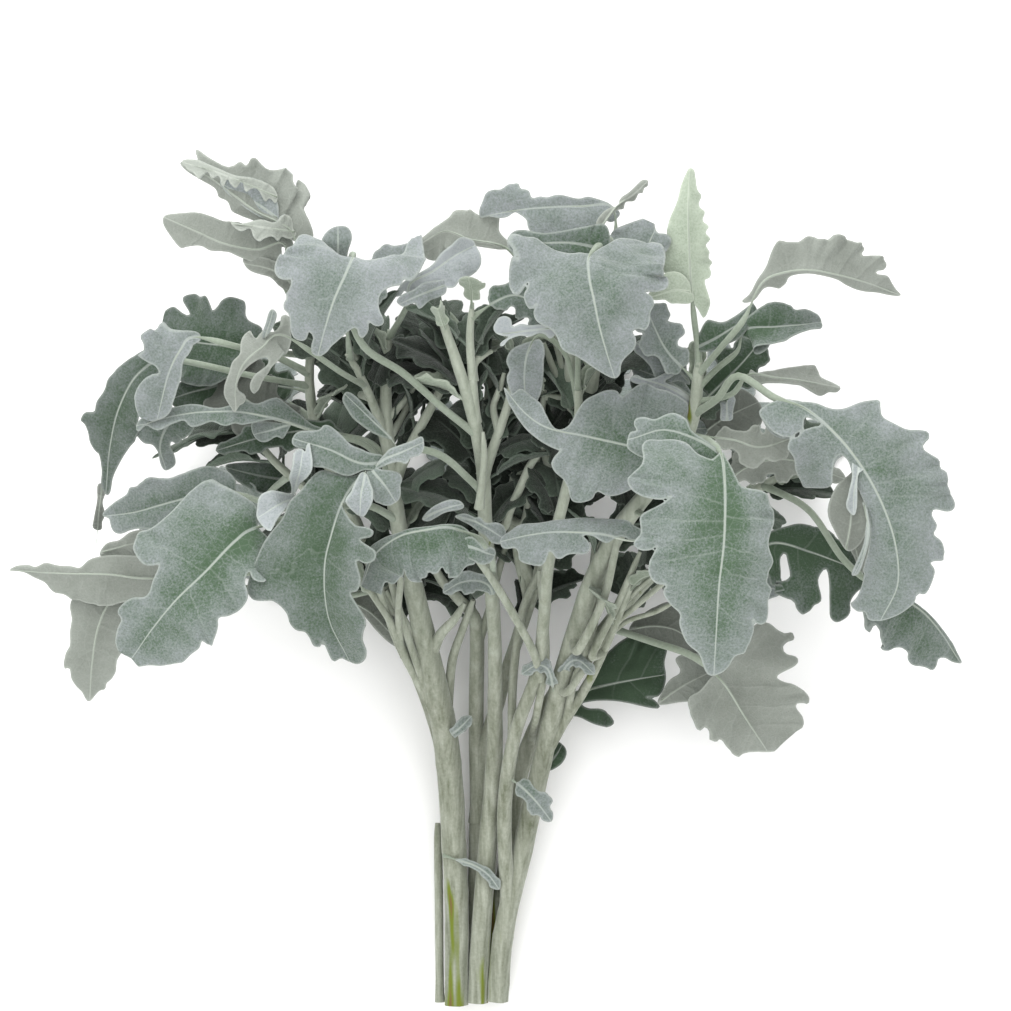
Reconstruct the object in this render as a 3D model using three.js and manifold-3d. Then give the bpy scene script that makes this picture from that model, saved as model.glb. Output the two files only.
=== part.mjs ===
// A florist's bunch of dusty miller (Jacobaea maritima), laid down on a table.
//
// Six cut stems lie side by side at their cut ends and fan out into the leafy head. Each stem carries
// side shoots and small young leaves, all grown to it as one body.
// Each large leaf is a body of its own: a stalk that runs on as the midrib of a thin blade with rounded
// lobes. Units are millimetres. +Z is up, the cut ends point towards -Y, and the origin is the middle of
// the ground that the bunch covers.
//
// A blade is a net of rows and columns. A row follows one side vein: it leaves the midrib at station u
// (0 at the blade's base, 1 at its tip) and leans towards the tip. A column keeps a share v of the half
// width (-1 is the left margin, 0 the midrib, 1 the right margin).

import * as THREE from 'three';
import Module from 'manifold-3d';

const wasm = await Module();
wasm.setup();

// ---- driving dimensions ----

const BLADE_THICKNESS = 0.8;
const STALK_RADIUS = 1.5;
const MIDRIB_DEPTH = 1.1; // how far the midrib stands out below the blade at its base
const LEAF_TO_STEM_GAP = 0.3;
const STEM_SIDES = 8;
const SHOOT_SIDES = 5;
const ORIGIN_SHIFT = [6.4, -4.7, 0]; // puts the origin in the middle of the ground covered

// ---- stems: centreline points [x, y, z, radius], from the cut end to the tip of the shoot ----

const STEMS = {
  "stem_left": {
    "main": [[-18.4, -170, 12.1, 4.9], [-18.3, -128, 15, 4.9], [-19.6, -100, 19, 5.1],
      [-20.6, -80, 22.5, 5.2], [-23, -56, 29, 5.2], [-26, -40, 34, 5], [-31, -17, 42, 4.6],
      [-35.5, 4, 51, 4.1], [-41, 28, 61, 3.4], [-45, 58, 73, 2.9], [-46, 84, 83, 2.3], [-44, 108, 91, 1.6]],
    "low_shoot": [[-29, -24, 39, 2.4], [-24.5, -15, 46, 2.1], [-19, -9, 51, 1.8], [-14.5, -2, 54, 1.3]],
    "outer_shoot": [[-27, -46, 33, 2.4], [-36, -30, 38, 2], [-42, -18, 44, 1.8], [-47, -4, 51, 1.5], [-51, 10, 60, 1.3]],
    "right_shoot": [[-43, 48, 69, 2.4], [-34, 66, 78, 2], [-24, 84, 86, 1.7], [-17, 98, 92, 1.3]],
    "left_shoot": [[-45, 60, 74, 2.2], [-50, 76, 84, 1.8], [-56, 90, 94, 1.5], [-61, 98, 101, 1.2]]
  },
  "stem_left_back": {
    "main": [[-17.9, -167, 3.5, 4], [-18, -144, 3.6, 4], [-19, -118, 7, 4], [-20.5, -86, 11, 3.8],
      [-25, -58, 16, 3.6], [-33, -34, 23, 3.4], [-44, -6, 34, 3.2], [-54, 18, 45, 3], [-64, 42, 56, 2.6],
      [-74, 66, 66, 2.2], [-77, 90, 75, 1.9], [-74, 112, 83, 1.5]],
    "far_shoot": [[-58, 28, 49, 2.2], [-76, 42, 57, 1.9], [-92, 56, 60, 1.6], [-103, 70, 60, 1.2]]
  },
  "stem_centre": {
    "main": [[-9.6, -169, 11.5, 4.2], [-8.2, -140, 14.4, 4.1], [-5.5, -105, 18.6, 3.9], [-3, -76, 24, 3.7],
      [-2.3, -46, 32, 3.1], [-2.4, -18, 43, 2.8], [-3.5, 2, 52, 2.9], [-6, 28, 66, 2.9], [-7, 52, 80, 2.7],
      [-11, 74, 93, 2.5], [-18, 97, 105, 2.1], [-24, 114, 114, 1.6]],
    "right_shoot": [[-7, 50, 79, 2.2], [-1, 66, 85, 1.9], [4, 82, 89, 1.6], [6, 98, 92, 1.2]],
    "bud_shoot": [[-10, 71, 91, 2], [-11, 88, 99, 1.8], [-12, 104, 106, 1.6], [-11, 118, 111, 1.2]]
  },
  "stem_centre_back": {
    "main": [[-10.1, -170, 3.5, 4], [-10.1, -146, 3.6, 4], [-9.4, -118, 6.5, 4], [-9, -90, 10, 3.8],
      [-7, -66, 14, 3.3], [0, -40, 20, 2.8], [8, -14, 30, 2.6], [16, 10, 42, 2.8], [24, 34, 55, 2.8],
      [30, 58, 69, 2.6], [36, 82, 83, 2.4], [40, 106, 96, 2.1], [42, 124, 105, 1.6]],
    "left_branch": [[-9.2, -94, 9.5, 3.2], [-10.1, -60, 15, 3.1], [-10, -39, 21, 3.1], [-9.7, -18, 29, 3],
      [-11, -7.5, 35, 2.6], [-17.5, 0, 41, 2.2], [-24.5, 8, 46, 1.9], [-28, 16, 50, 1.5]],
    "left_shoot": [[14, 4, 39, 2.4], [8, 18, 45, 2.1], [4, 34, 50, 1.8], [6, 54, 56, 1.4]],
    "thin_shoot": [[24, 34, 55, 2.2], [20, 52, 66, 1.9], [16, 68, 76, 1.6], [18, 84, 86, 1.2]]
  },
  "stem_right": {
    "main": [[-1.2, -168.5, 11.7, 4.4], [0.5, -145, 14, 4.3], [4, -126, 16, 4.1], [8, -110, 18, 4.2],
      [13.6, -84, 23, 4.1], [18, -64, 28, 4], [24, -38, 37, 4.1], [31, -14, 47, 4.2], [38, 8, 58, 4],
      [48, 28, 69, 3.7], [60, 44, 79, 3.3], [71, 58, 88, 3], [77, 74, 96, 2.7], [79, 95, 105, 2.1]],
    "inner_shoot": [[3.5, -128, 16, 3], [1.8, -104, 24, 3], [2, -82, 30, 3], [6, -56, 37, 2.8],
      [15, -30.5, 45, 2.6], [17.6, -9, 55, 2.5], [19.6, 15, 67, 2.4], [26, 42, 81, 2.2], [31, 66, 93, 2],
      [31, 88, 102, 1.5]],
    "outer_shoot": [[18, -66, 28, 2.2], [26, -52, 32, 2], [34.5, -38, 38, 1.9], [43, -20, 47, 1.8],
      [54, 8, 60, 1.5]]
  },
  "stem_right_back": {
    "main": [[-2.3, -166, 3.5, 4], [-2.1, -146, 3.6, 4], [0.8, -124, 6, 3.8], [5, -98, 9.5, 3.6],
      [9, -70, 13, 3.4], [18, -48, 18, 3.2], [31, -28, 25, 3], [47, -8, 34, 2.8], [65, 13, 45, 2.6],
      [82, 30, 55, 2.4], [100, 42, 64, 2], [114, 50, 71, 1.6]],
    "low_shoot": [[15, -54, 16, 2.2], [24, -45, 17.5, 1.9], [34, -40, 19, 1.5]]
  }
};

// ---- leaves ----
// [name, stem, axis, y where the stalk leaves that axis, points from there to the leaf's tip, details].
// bare: the share of the length that is bare stalk. half: left and right half width. face: where the
// upper side looks, at the blade's base, with root at the stem and end at the tip where they differ.
// fold and curl: degrees by which each half rises from the midrib, and goes on rising to its margin.
// cut: how deep the bays between the lobes are, at the base and at the tip, as a share of the half width.

const LEAVES = [
  ["leaf_right_front", "stem_right", "main", 62,
    [[80,64,116], [84,61,136], [86.2,57,147], [87.2,43.8,151], [86.8,24.4,152], [84.9,6.2,150],
      [84.1,-12.6,143], [83.6,-27.6,135]],
    {"bare": 0.4, "half": [22, 38], "face": [0.1, 0.3, 1], "end": [0, -0.4, 1],
      "root": [0.7, 0.7, 0.2], "fold": [6, 4], "curl": [-36, -22], "lobes": 5, "cut": [0.62, 0.16], "widest": 0.3, "wave": 2}],
  ["leaf_left_front", "stem_left", "main", 32,
    [[-54,38,80], [-70,36,94], [-96,29.3,105], [-104.9,23.7,110], [-116.5,11.5,114], [-128,0.5,113],
      [-137.5,-10.7,108], [-144.8,-20.5,100]],
    {"bare": 0.5, "half": [23, 30], "face": [-0.1, 0.1, 1], "end": [-0.3, -0.3, 1], "fold": [6, 6],
      "curl": [-22, -26], "lobes": 4, "cut": [0.68, 0.14], "widest": 0.42, "wave": 2.2}],
  ["leaf_left_lyre", "stem_centre", "main", 42,
    [[-12,48,88], [-24,58,101], [-38,60,110], [-50.1,53.4,116], [-57.5,46.3,118], [-62.6,37.6,120],
      [-66.5,25.4,121], [-68.8,15.2,121], [-68.9,2.5,119], [-66.7,-9.4,114], [-59.8,-23.4,107]],
    {"bare": 0.44, "half": [24, 33], "face": [0, 0.2, 1], "end": [0, -0.4, 1], "fold": [34, -4],
      "curl": [10, -24], "lobes": 6, "cut": [0.86, 0.2], "widest": 0.56, "wave": 2.4}],
  ["leaf_centre_left", "stem_centre", "main", 8,
    [[-3,15,80], [-8,24,100], [-19,28.9,111], [-29.6,28.1,113], [-40.3,25.3,112], [-49.9,17.8,107],
      [-54.1,8.1,99]],
    {"bare": 0.53, "half": [20, 6], "face": [0, 0.3, 1], "fold": [-6, -30], "curl": [-30, -30],
      "lobes": 5, "cut": [0.5, 0.3], "widest": 0.4, "wave": 1.6}],
  ["leaf_centre_right", "stem_right", "main", 36,
    [[66,29,96], [54,24,105], [39.6,26.5,108], [23.8,27.3,108], [11.9,26.1,106], [1.6,23.7,99]],
    {"bare": 0.41, "half": [12, 10], "face": [0, 0.3, 1], "fold": [-4, -12], "curl": [-20, -44],
      "lobes": 5, "cut": [0.6, 0.42], "widest": 0.62, "wave": 1.6}],
  ["leaf_middle", "stem_right", "main", 52,
    [[68,56,100], [61.3,59,112], [49.3,61.7,117], [33.5,65.2,118], [19,68.4,116], [9.9,74.4,112],
      [2,84,106]],
    {"bare": 0.21, "half": [28, 26], "face": [0, 0.1, 1], "end": [0, 0.1, 1], "fold": [-8, -2],
      "curl": [-30, -8], "lobes": 4, "cut": [0.7, 0.5], "widest": 0.38, "wave": 2}],
  ["leaf_right_low_green", "stem_right", "inner_shoot", 52,
    [[42, 60, 84], [56, 64, 82], [70, 68, 79], [84, 69, 73]],
    {"bare": 0.16, "half": [13, 13], "face": [0, 0.3, 1], "fold": [10, 0], "curl": [-16, -20],
      "lobes": 3, "cut": [0.4, 0.2], "widest": 0.5, "wave": 1.5}],
  ["leaf_right_outer", "stem_right", "main", 74,
    [[86,80,106], [94,89,114], [108.4,80.1,119], [120,76.1,122], [132.8,65.1,124], [142.7,52.5,124],
      [150.7,38,122], [156.1,22.2,118], [157.4,6.4,112], [151.7,-7.3,104]],
    {"bare": 0.36, "half": [31, 32], "face": [0.1, 0.2, 1], "end": [0.3, -0.3, 1], "fold": [4, -34],
      "curl": [-22, -40], "lobes": 6, "cut": [0.72, 0.18], "widest": 0.5, "wave": 2.2}],
  ["leaf_right_tip", "stem_right_back", "main", 46,
    [[124,36,80], [138,16,84], [152.4,3.9,85], [162.8,-0.2,81], [171.1,-5.9,77], [178.5,-14.1,71],
      [186.7,-25.7,62]],
    {"bare": 0.55, "half": [4, 22], "face": [0.2, 0.1, 1], "fold": [-30, 0], "curl": [-30, -14],
      "lobes": 4, "cut": [0.4, 0.4], "widest": 0.45, "wave": 1.4}],
  ["leaf_right_fingers", "stem_right_back", "main", 20,
    [[84,18,62], [98,17,71], [110.8,22.7,75], [124.9,19.1,76], [136.3,15,74], [148,10.1,69]],
    {"bare": 0.47, "half": [11, 25], "face": [0, 0.2, 1], "fold": [0, 0], "curl": [-20, -12],
      "lobes": 4, "cut": [0.82, 0.3], "widest": 0.5, "wave": 1.2}],
  ["leaf_right_underside", "stem_right_back", "main", -12,
    [[62,-18,40], [79,-24,47], [90.7,-34.4,48], [100.2,-49.2,46], [109.2,-62.7,38]],
    {"bare": 0.58, "half": [20, 37], "face": [-0.1, -0.2, -1], "fold": [6, 6], "curl": [-16, -16],
      "lobes": 5, "cut": [0.4, 0.2], "widest": 0.55, "wave": 2}],
  ["leaf_right_small_dark", "stem_right_back", "low_shoot", -42,
    [[36.4,-38.7,20], [46.3,-36.1,23], [57,-34,25], [67.8,-32.3,24]],
    {"bare": 0.3, "half": [19, 17], "face": [0, 0, 1], "fold": [6, 6], "curl": [-10, -10], "lobes": 3,
      "cut": [0.4, 0.2], "widest": 0.5, "wave": 1}],
  ["leaf_right_top", "stem_right", "main", 90,
    [[88,101,114], [96,111,121], [102.8,124.7,127], [111.7,128.9,130], [122.2,129.6,131],
      [133.4,127.8,127], [144.8,125,121], [156.4,121.3,114]],
    {"bare": 0.37, "half": [6, 15], "face": [0, -0.3, -1], "fold": [44, -6], "curl": [10, -10],
      "lobes": 5, "cut": [0.3, 0.34], "widest": 0.42, "wave": 1.6}],
  ["leaf_right_top_green", "stem_right", "main", 84,
    [[86,92,104], [94,99,110], [96.9,107.2,111], [108.8,108.4,112], [118.8,109.3,109],
      [126.3,110.3,103]],
    {"bare": 0.45, "half": [10, 12], "face": [0, 0.2, 1], "fold": [14, 20], "curl": [-10, 30],
      "lobes": 3, "cut": [0.3, 0.2], "widest": 0.5, "wave": 1.2}],
  ["leaf_right_narrow", "stem_right", "main", 79,
    [[92,82,101], [98.5,89.6,104], [109.2,88.4,105], [119.3,87.3,102], [134.9,84.7,94]],
    {"bare": 0.42, "half": [5, 8], "face": [0, -0.2, -1], "fold": [4, 20], "curl": [-10, 0],
      "lobes": 3, "cut": [0.3, 0.4], "widest": 0.6, "wave": 1}],
  ["leaf_upright_young", "stem_right", "main", 93,
    [[78.6,99.5,106], [76.8,112,111], [75.4,124.8,115], [74.5,140.4,119], [74.1,156.1,120],
      [75,170.5,117]],
    {"bare": 0.39, "half": [9, 12], "face": [0, 0.2, -1], "fold": [14, 14], "curl": [10, 10],
      "lobes": 6, "cut": [0.24, 0.24], "widest": 0.4, "wave": 2.4}],
  ["leaf_top_front", "stem_centre_back", "main", 122,
    [[42,136,112], [43,142,126], [35.1,135.6,143], [34.5,127.1,151], [36.4,117.2,154],
      [38.4,107.6,153], [41.1,98,150], [44.4,88.2,143]],
    {"bare": 0.5, "half": [31, 33], "root": [0, 0.4, -1], "face": [0, 0.35, 1], "end": [0, -0.2, 1],
      "fold": [0, 0], "curl": [-26, -26], "lobes": 4, "cut": [0.5, 0.16], "widest": 0.36, "wave": 2.4}],
  ["leaf_top_back", "stem_centre_back", "main", 97,
    [[46,128,97], [46,143,103], [44.4,156.1,107], [31.7,156.4,109], [19,156,109], [6,154.9,107],
      [-5.6,152.9,101]],
    {"bare": 0.51, "half": [11, 11], "face": [0, 0.3, 1], "fold": [-10, 24], "curl": [-20, 0],
      "lobes": 4, "cut": [0.3, 0.3], "widest": 0.45, "wave": 2.2}],
  ["leaf_top_right", "stem_centre_back", "main", 114,
    [[49.5,123.1,110], [55.2,133.8,117], [60.7,145.5,119]],
    {"bare": 0.62, "half": [16, 8], "face": [0, 0.2, 1], "fold": [8, 0], "curl": [-14, -20],
      "lobes": 3, "cut": [0.3, 0.2], "widest": 0.45, "wave": 1.6}],
  ["leaf_top_crinkled", "stem_centre_back", "main", 108,
    [[33,123,111], [34,137,117], [44.5,154.1,121], [52,160,121], [57.9,165.2,119]],
    {"bare": 0.65, "half": [4, 4], "face": [0, 0.3, -1], "fold": [10, 10], "curl": [0, 20],
      "lobes": 5, "cut": [0.3, 0.3], "widest": 0.4, "wave": 2.2}],
  ["leaf_top_left_pale", "stem_centre_back", "main", 90,
    [[26,112,92], [11.2,130.8,98], [2,140.3,99], [-11.9,143.6,97], [-22,147.1,92], [-32.1,142.2,86]],
    {"bare": 0.62, "half": [15, 9], "face": [0, -0.3, -1], "fold": [-8, 20], "curl": [-10, 0],
      "lobes": 4, "cut": [0.24, 0.24], "widest": 0.45, "wave": 1.8}],
  ["leaf_small_bright", "stem_right", "inner_shoot", 84,
    [[29.7,111.1,112], [19.7,107.8,118], [9.9,106.5,119], [0,105.5,116]],
    {"bare": 0.69, "half": [6, 7], "face": [0, 0.2, 1], "fold": [6, 6], "curl": [10, 10], "lobes": 3,
      "cut": [0.4, 0.3], "widest": 0.55, "wave": 1.6}],
  ["leaf_hanging_pale", "stem_right", "inner_shoot", 78,
    [[26,98,101], [15.9,105.5,104], [11.1,98.8,103], [9.6,89.3,100], [10.4,79.1,94]],
    {"bare": 0.61, "half": [8, 7], "root": [0, 0.6, -0.6], "face": [0, 0.3, 1], "end": [0, 0, 1],
      "fold": [10, 10], "curl": [-10, -10], "lobes": 3, "cut": [0.3, 0.2], "widest": 0.45, "wave": 1}],
  ["leaf_top_left_front", "stem_centre", "main", 66,
    [[-22,76,98], [-38,90,108], [-54,101,116], [-60,119,122], [-58,134,132], [-57,134.7,145],
      [-59.9,127,152], [-64.2,117.3,152], [-67.8,106.7,147], [-70.9,96.5,138]],
    {"bare": 0.71, "half": [28, 28], "root": [-0.3, 0.6, -0.6], "face": [0, 0.35, 1],
      "end": [0, -0.2, 1], "fold": [0, 0], "curl": [-26, -26], "lobes": 4, "cut": [0.44, 0.2], "widest": 0.4, "wave": 2.6}],
  ["leaf_top_left_lobe", "stem_left", "left_shoot", 96,
    [[-60,110,106], [-53,124,112], [-43,134,116], [-31,141,115]],
    {"bare": 0.24, "half": [8, 9], "face": [0, 0.1, 1], "fold": [10, 10], "curl": [-10, -10],
      "lobes": 3, "cut": [0.3, 0.2], "widest": 0.5, "wave": 1.2}],
  ["leaf_top_left_light", "stem_left", "main", 105,
    [[-37,117,104], [-35.6,125.6,108], [-26.9,130.2,111], [-17.8,136.6,110], [-10.3,140.8,105]],
    {"bare": 0.43, "half": [6, 10], "face": [0.1, 0, 1], "fold": [8, 8], "curl": [-10, -14],
      "lobes": 3, "cut": [0.36, 0.2], "widest": 0.5, "wave": 1.4}],
  ["leaf_top_grey_behind", "stem_centre", "bud_shoot", 112,
    [[-1,119,108], [7,121,108], [16,116,105], [22,106,99]],
    {"bare": 0.2, "half": [10, 9], "face": [0.1, 0.2, 1], "fold": [8, 8], "curl": [-10, -14],
      "lobes": 3, "cut": [0.36, 0.2], "widest": 0.5, "wave": 1.4}],
  ["leaf_far_left_crinkled", "stem_left_back", "main", 111,
    [[-76,130,97], [-82,145,105], [-87.1,149.3,109], [-95.7,153.5,111], [-104.8,160.2,111],
      [-114.9,167.6,108], [-126.3,173,104]],
    {"bare": 0.4, "half": [21, 9], "face": [0.2, -0.3, -1], "fold": [4, 40], "curl": [0, 40],
      "lobes": 6, "cut": [0.34, 0.26], "widest": 0.32, "wave": 2.8}],
  ["leaf_far_left_smooth", "stem_left_back", "main", 101,
    [[-80,117,88], [-86,126,95], [-85.6,141.9,99], [-96.3,139.5,100], [-109.5,141.9,99],
      [-120.8,146.9,96], [-132.8,152.4,90]],
    {"bare": 0.4, "half": [10, 12], "face": [0.2, -0.2, -1], "fold": [6, 20], "curl": [-10, 0],
      "lobes": 4, "cut": [0.2, 0.14], "widest": 0.6, "wave": 1.2}],
  ["leaf_left_hanging", "stem_left_back", "main", 86,
    [[-100,90,84], [-131.4,96.1,87], [-144.2,91.3,87], [-152.6,78.2,82], [-157.2,62.2,75],
      [-159.5,44.1,67]],
    {"bare": 0.49, "half": [11, 14], "face": [-0.3, 0.1, 1], "fold": [6, 8], "curl": [-10, -10],
      "lobes": 5, "cut": [0.3, 0.24], "widest": 0.36, "wave": 2}],
  ["leaf_left_light", "stem_left_back", "main", 98,
    [[-100,100,102], [-120.4,104.5,109], [-126.6,99.3,110], [-131.7,89.6,105], [-136.3,73.9,97]],
    {"bare": 0.59, "half": [6, 16], "face": [-0.2, 0.2, 1], "fold": [10, 16], "curl": [-20, -10],
      "lobes": 4, "cut": [0.36, 0.3], "widest": 0.42, "wave": 2}],
  ["leaf_left_round_lobes", "stem_left_back", "main", 91,
    [[-93,99,79], [-104,101,79], [-112.7,102.4,78], [-123,103.7,75], [-134.4,106.4,68]],
    {"bare": 0.39, "half": [18, 20], "face": [0, 0.1, 1], "fold": [0, 10], "curl": [-10, -14],
      "lobes": 3, "cut": [0.6, 0.4], "widest": 0.5, "wave": 1.4}],
  ["leaf_left_shaded", "stem_left_back", "main", 64,
    [[-87.6, 73.4, 75], [-100.4, 79.2, 76], [-110, 88, 72], [-117.6, 99.2, 63]],
    {"bare": 0.2, "half": [15, 15], "face": [0, 0, -1], "fold": [10, 10], "curl": [-20, -20],
      "lobes": 4, "cut": [0.4, 0.2], "widest": 0.5, "wave": 1.6}],
  ["leaf_left_strap", "stem_left", "left_shoot", 86,
    [[-62,90,103], [-85.5,104.9,110], [-94,100,113], [-101.1,93.7,114], [-104.5,85.1,110],
      [-104.9,76.5,103]],
    {"bare": 0.49, "half": [10, 10], "face": [0, -0.2, -1], "fold": [6, 6], "curl": [10, 10],
      "lobes": 4, "cut": [0.7, 0.3], "widest": 0.4, "wave": 1.4}],
  ["leaf_left_level", "stem_left", "main", 50,
    [[-54,62,84], [-72.8,67.2,90], [-87.7,71.9,96], [-103.5,75,99], [-123.5,74.6,98],
      [-142.7,70.4,91]],
    {"bare": 0.35, "half": [7, 9], "face": [0, 0.5, 1], "fold": [-8, 6], "curl": [-26, -10],
      "lobes": 5, "cut": [0.5, 0.3], "widest": 0.45, "wave": 1.8}],
  ["leaf_left_behind", "stem_left_back", "main", 44,
    [[-78,36,72], [-92,38,82], [-110.1,44,88], [-124,41.2,90], [-136.1,38,88], [-146.5,35.2,84],
      [-158.3,33.6,77]],
    {"bare": 0.52, "half": [11, 12], "face": [0, 0.2, 1], "fold": [4, 16], "curl": [-20, 10],
      "lobes": 4, "cut": [0.5, 0.26], "widest": 0.5, "wave": 2}],
  ["leaf_left_far_point", "stem_left_back", "main", 20,
    [[-74,14,50], [-106,10,55], [-142.5,8.3,57], [-158.7,9.9,58], [-179.4,10.3,54],
      [-199.6,11.4,47]],
    {"bare": 0.57, "half": [9, 14], "face": [0, 0.2, -1], "fold": [10, 10], "curl": [0, 0],
      "lobes": 4, "cut": [0.3, 0.3], "widest": 0.36, "wave": 1.6}],
  ["leaf_left_low_hanging", "stem_left_back", "main", 4,
    [[-70,0,38], [-104,4,42], [-147.4,2.4,46], [-158.7,-0.9,47], [-164.6,-12.4,45],
      [-167.5,-27.7,40], [-169,-41.5,33]],
    {"bare": 0.67, "half": [14, 14], "face": [0, 0, -1], "fold": [6, 6], "curl": [-10, -10],
      "lobes": 4, "cut": [0.26, 0.2], "widest": 0.5, "wave": 1.4}],
  ["leaf_right_under_grey", "stem_right_back", "main", 26,
    [[87.8, 41.4, 68], [98.1, 52.5, 76], [115.5, 56.2, 79], [139.1, 48.5, 73]],
    {"bare": 0.3, "half": [9, 10], "face": [0, 0, -1], "fold": [6, 6], "curl": [-10, -10],
      "lobes": 4, "cut": [0.4, 0.3], "widest": 0.5, "wave": 1.4}],
  ["leaf_right_under_brown", "stem_right", "main", 66,
    [[92, 64, 99], [104, 61, 101], [120, 66, 101]],
    {"bare": 0.24, "half": [8, 9], "face": [0, 0, -1], "fold": [10, 10], "curl": [0, 0],
      "lobes": 3, "cut": [0.4, 0.3], "widest": 0.5, "wave": 1.4}],
  ["leaf_left_dark_fill", "stem_left_back", "main", 84,
    [[-88, 86, 64], [-100, 88, 56], [-113, 88, 46]],
    {"half": [10, 10], "face": [0, 0.2, 1], "lobes": 3, "cut": [0.4, 0.2]}],
  ["leaf_left_dark_tip", "stem_left", "main", 56,
    [[-54,64,78], [-74,68,84], [-96,65,84], [-114,60,78]],
    {"bare": 0.3, "half": [7, 7], "lobes": 3, "cut": [0.3, 0.2]}],
  ["leaf_top_right_cluster", "stem_right", "main", 87,
    [[67, 98, 108], [61, 109, 108], [57, 120, 103]],
    {"half": [9, 10], "face": [-0.2, 0.2, 1], "fold": [10, 10], "lobes": 3, "cut": [0.5, 0.3], "wave": 1.2}],
  ["leaf_right_dark_fill", "stem_right", "main", 76,
    [[86, 84, 92], [97, 95, 90], [107, 107, 84]],
    {"half": [10, 10], "face": [0, 0.2, 1], "lobes": 3, "cut": [0.4, 0.2]}],
  ["leaf_centre_dark_fill", "stem_centre_back", "main", 40,
    [[36, 50, 57], [46, 60, 53], [54, 70, 45]],
    {"half": [12, 12], "face": [0, 0.2, 1], "lobes": 3, "cut": [0.4, 0.2]}],
  ["leaf_floor_left_outer", "stem_left_back", "far_shoot", 50,
    [[-97.4, 41.7, 44], [-107.9, 39.3, 22], [-121.2, 37.3, 4], [-139.3, 31.9, 0.3],
      [-150.9, 27.5, 0.3]],
    {"half": [16, 15], "face": [0.2, 0, 1], "lobes": 3, "rests": true}],
  ["leaf_floor_left_top", "stem_left_back", "main", 72,
    [[-88.3, 82.2, 46], [-97.3, 89.6, 24], [-107.1, 98.8, 4], [-120.1, 111.1, 0.3],
      [-128.5, 119.7, 0.3]],
    {"half": [15, 16], "face": [0.2, 0.6, 1], "lobes": 3, "rests": true}],
  ["leaf_floor_left_low", "stem_left_back", "main", 10,
    [[-62.1, 11, 26], [-76.4, 11.7, 8], [-92.9, 12, 1], [-113.5, 12.4, 0.3]],
    {"half": [15, 14], "lobes": 3, "rests": true}],
  ["leaf_floor_centre", "stem_centre_back", "left_shoot", 24,
    [[-2, 38, 32], [-10, 50, 12], [-18, 64, 1.2], [-28, 84, 0.3]],
    {"half": [16, 17], "face": [-0.2, 0.6, 1], "lobes": 3, "rests": true}],
  ["leaf_floor_top", "stem_centre_back", "main", 62,
    [[34, 74, 48], [38, 86, 24], [42, 98, 4], [46, 114, 0.3], [48, 126, 0.3]],
    {"half": [16, 17], "face": [0, 0.6, 1], "lobes": 3, "rests": true}],
  ["leaf_floor_right_low", "stem_right_back", "main", 2,
    [[68, 8, 22], [82, 9, 7], [98, 7, 1], [118, 2, 0.3]],
    {"half": [15, 16], "lobes": 3, "rests": true}],
  ["leaf_floor_right_outer", "stem_right_back", "main", 40,
    [[108, 51.1, 42], [116.6, 56.1, 22], [128, 60.4, 4], [143.9, 64.9, 0.3], [154, 67.3, 0.3]],
    {"half": [14, 15], "face": [-0.4, 0, 1], "lobes": 3, "rests": true}],
  ["leaf_floor_right_top", "stem_right_back", "main", 46,
    [[103.3, 62.5, 46], [99, 73.8, 24], [95.6, 85.7, 4], [92, 102.1, 0.3], [89.1, 113.1, 0.3]],
    {"half": [15, 14], "face": [0, 0.6, 1], "lobes": 3, "rests": true}]
];

// Young leaves, grown to the shoots they stand on. Each row names the shoot and gives, from the tip
// down, the turn in degrees of each leaf round it (0 towards +X, 90 upwards).
const YOUNG_LEAVES = {
  "stem_left/main": [150, 240, 320],
  "stem_left/outer_shoot": [60, 200],
  "stem_left/right_shoot": [200, 330],
  "stem_left_back/main": [350, 30],
  "stem_left_back/far_shoot": [200],
  "stem_centre/main": [80, 170],
  "stem_centre/right_shoot": [200, 320],
  "stem_centre/bud_shoot": [100],
  "stem_centre_back/main": [235],
  "stem_centre_back/left_shoot": [150, 30],
  "stem_centre_back/thin_shoot": [150, 260],
  "stem_right/main": [260],
  "stem_right/inner_shoot": [340, 40],
  "stem_right/outer_shoot": [60, 150],
  "stem_right_back/main": [330]
};
// Small leaves low on the stems, grown to them too: [points from the stem to the tip, details].
const STEM_LEAVES = {
  "stem_left": [
    [[[-23.6, -107, 21], [-19, -108.5, 23.8], [-11, -111, 24.2], [-5, -115, 23.6], [-0.5, -121, 22.6]],
      {"half": [1.6, 1.6], "lobes": 2, "cut": [0, 0]}],
    [[[-22, -58, 31], [-17, -54, 37], [-12, -49, 36]],
      {"half": [2.4, 2], "lobes": 2, "wave": 1}]
  ],
  "stem_centre": [
    [[[-2.9, -4, 49], [-3.8, 4.2, 58], [-9, 7.2, 62], [-16.3, 6.4, 62], [-23, 2.4, 58]],
      {"half": [5, 4], "lobes": 2, "cut": [0.2, 0.2], "wave": 1}]
  ],
  "stem_right": [
    [[[3, -74, 32], [9, -78, 38], [15, -84, 39.5], [21, -92, 36]],
      {"half": [5.5, 5], "lobes": 2, "cut": [0.4, 0.2]}],
    [[[22.5, -42, 37], [20, -30, 48], [15, -27.5, 50], [9, -31, 47]],
      {"half": [3, 3], "lobes": 2, "wave": 1.5}],
    [[[24, -37, 38], [27, -28, 46], [32, -25.5, 49], [38.5, -31, 47]],
      {"half": [3, 3], "lobes": 2, "wave": 1.5}]
  ]
};
const YOUNG_START = 0.96; // where the topmost young leaf leaves its shoot, as a share of its length
const YOUNG_SPACING = 0.12;
const YOUNG_LENGTH = 20;
const YOUNG_HALF_WIDTH = 4.5;
const YOUNG_SPREAD = 30; // degrees between the topmost young leaf and its shoot

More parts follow.
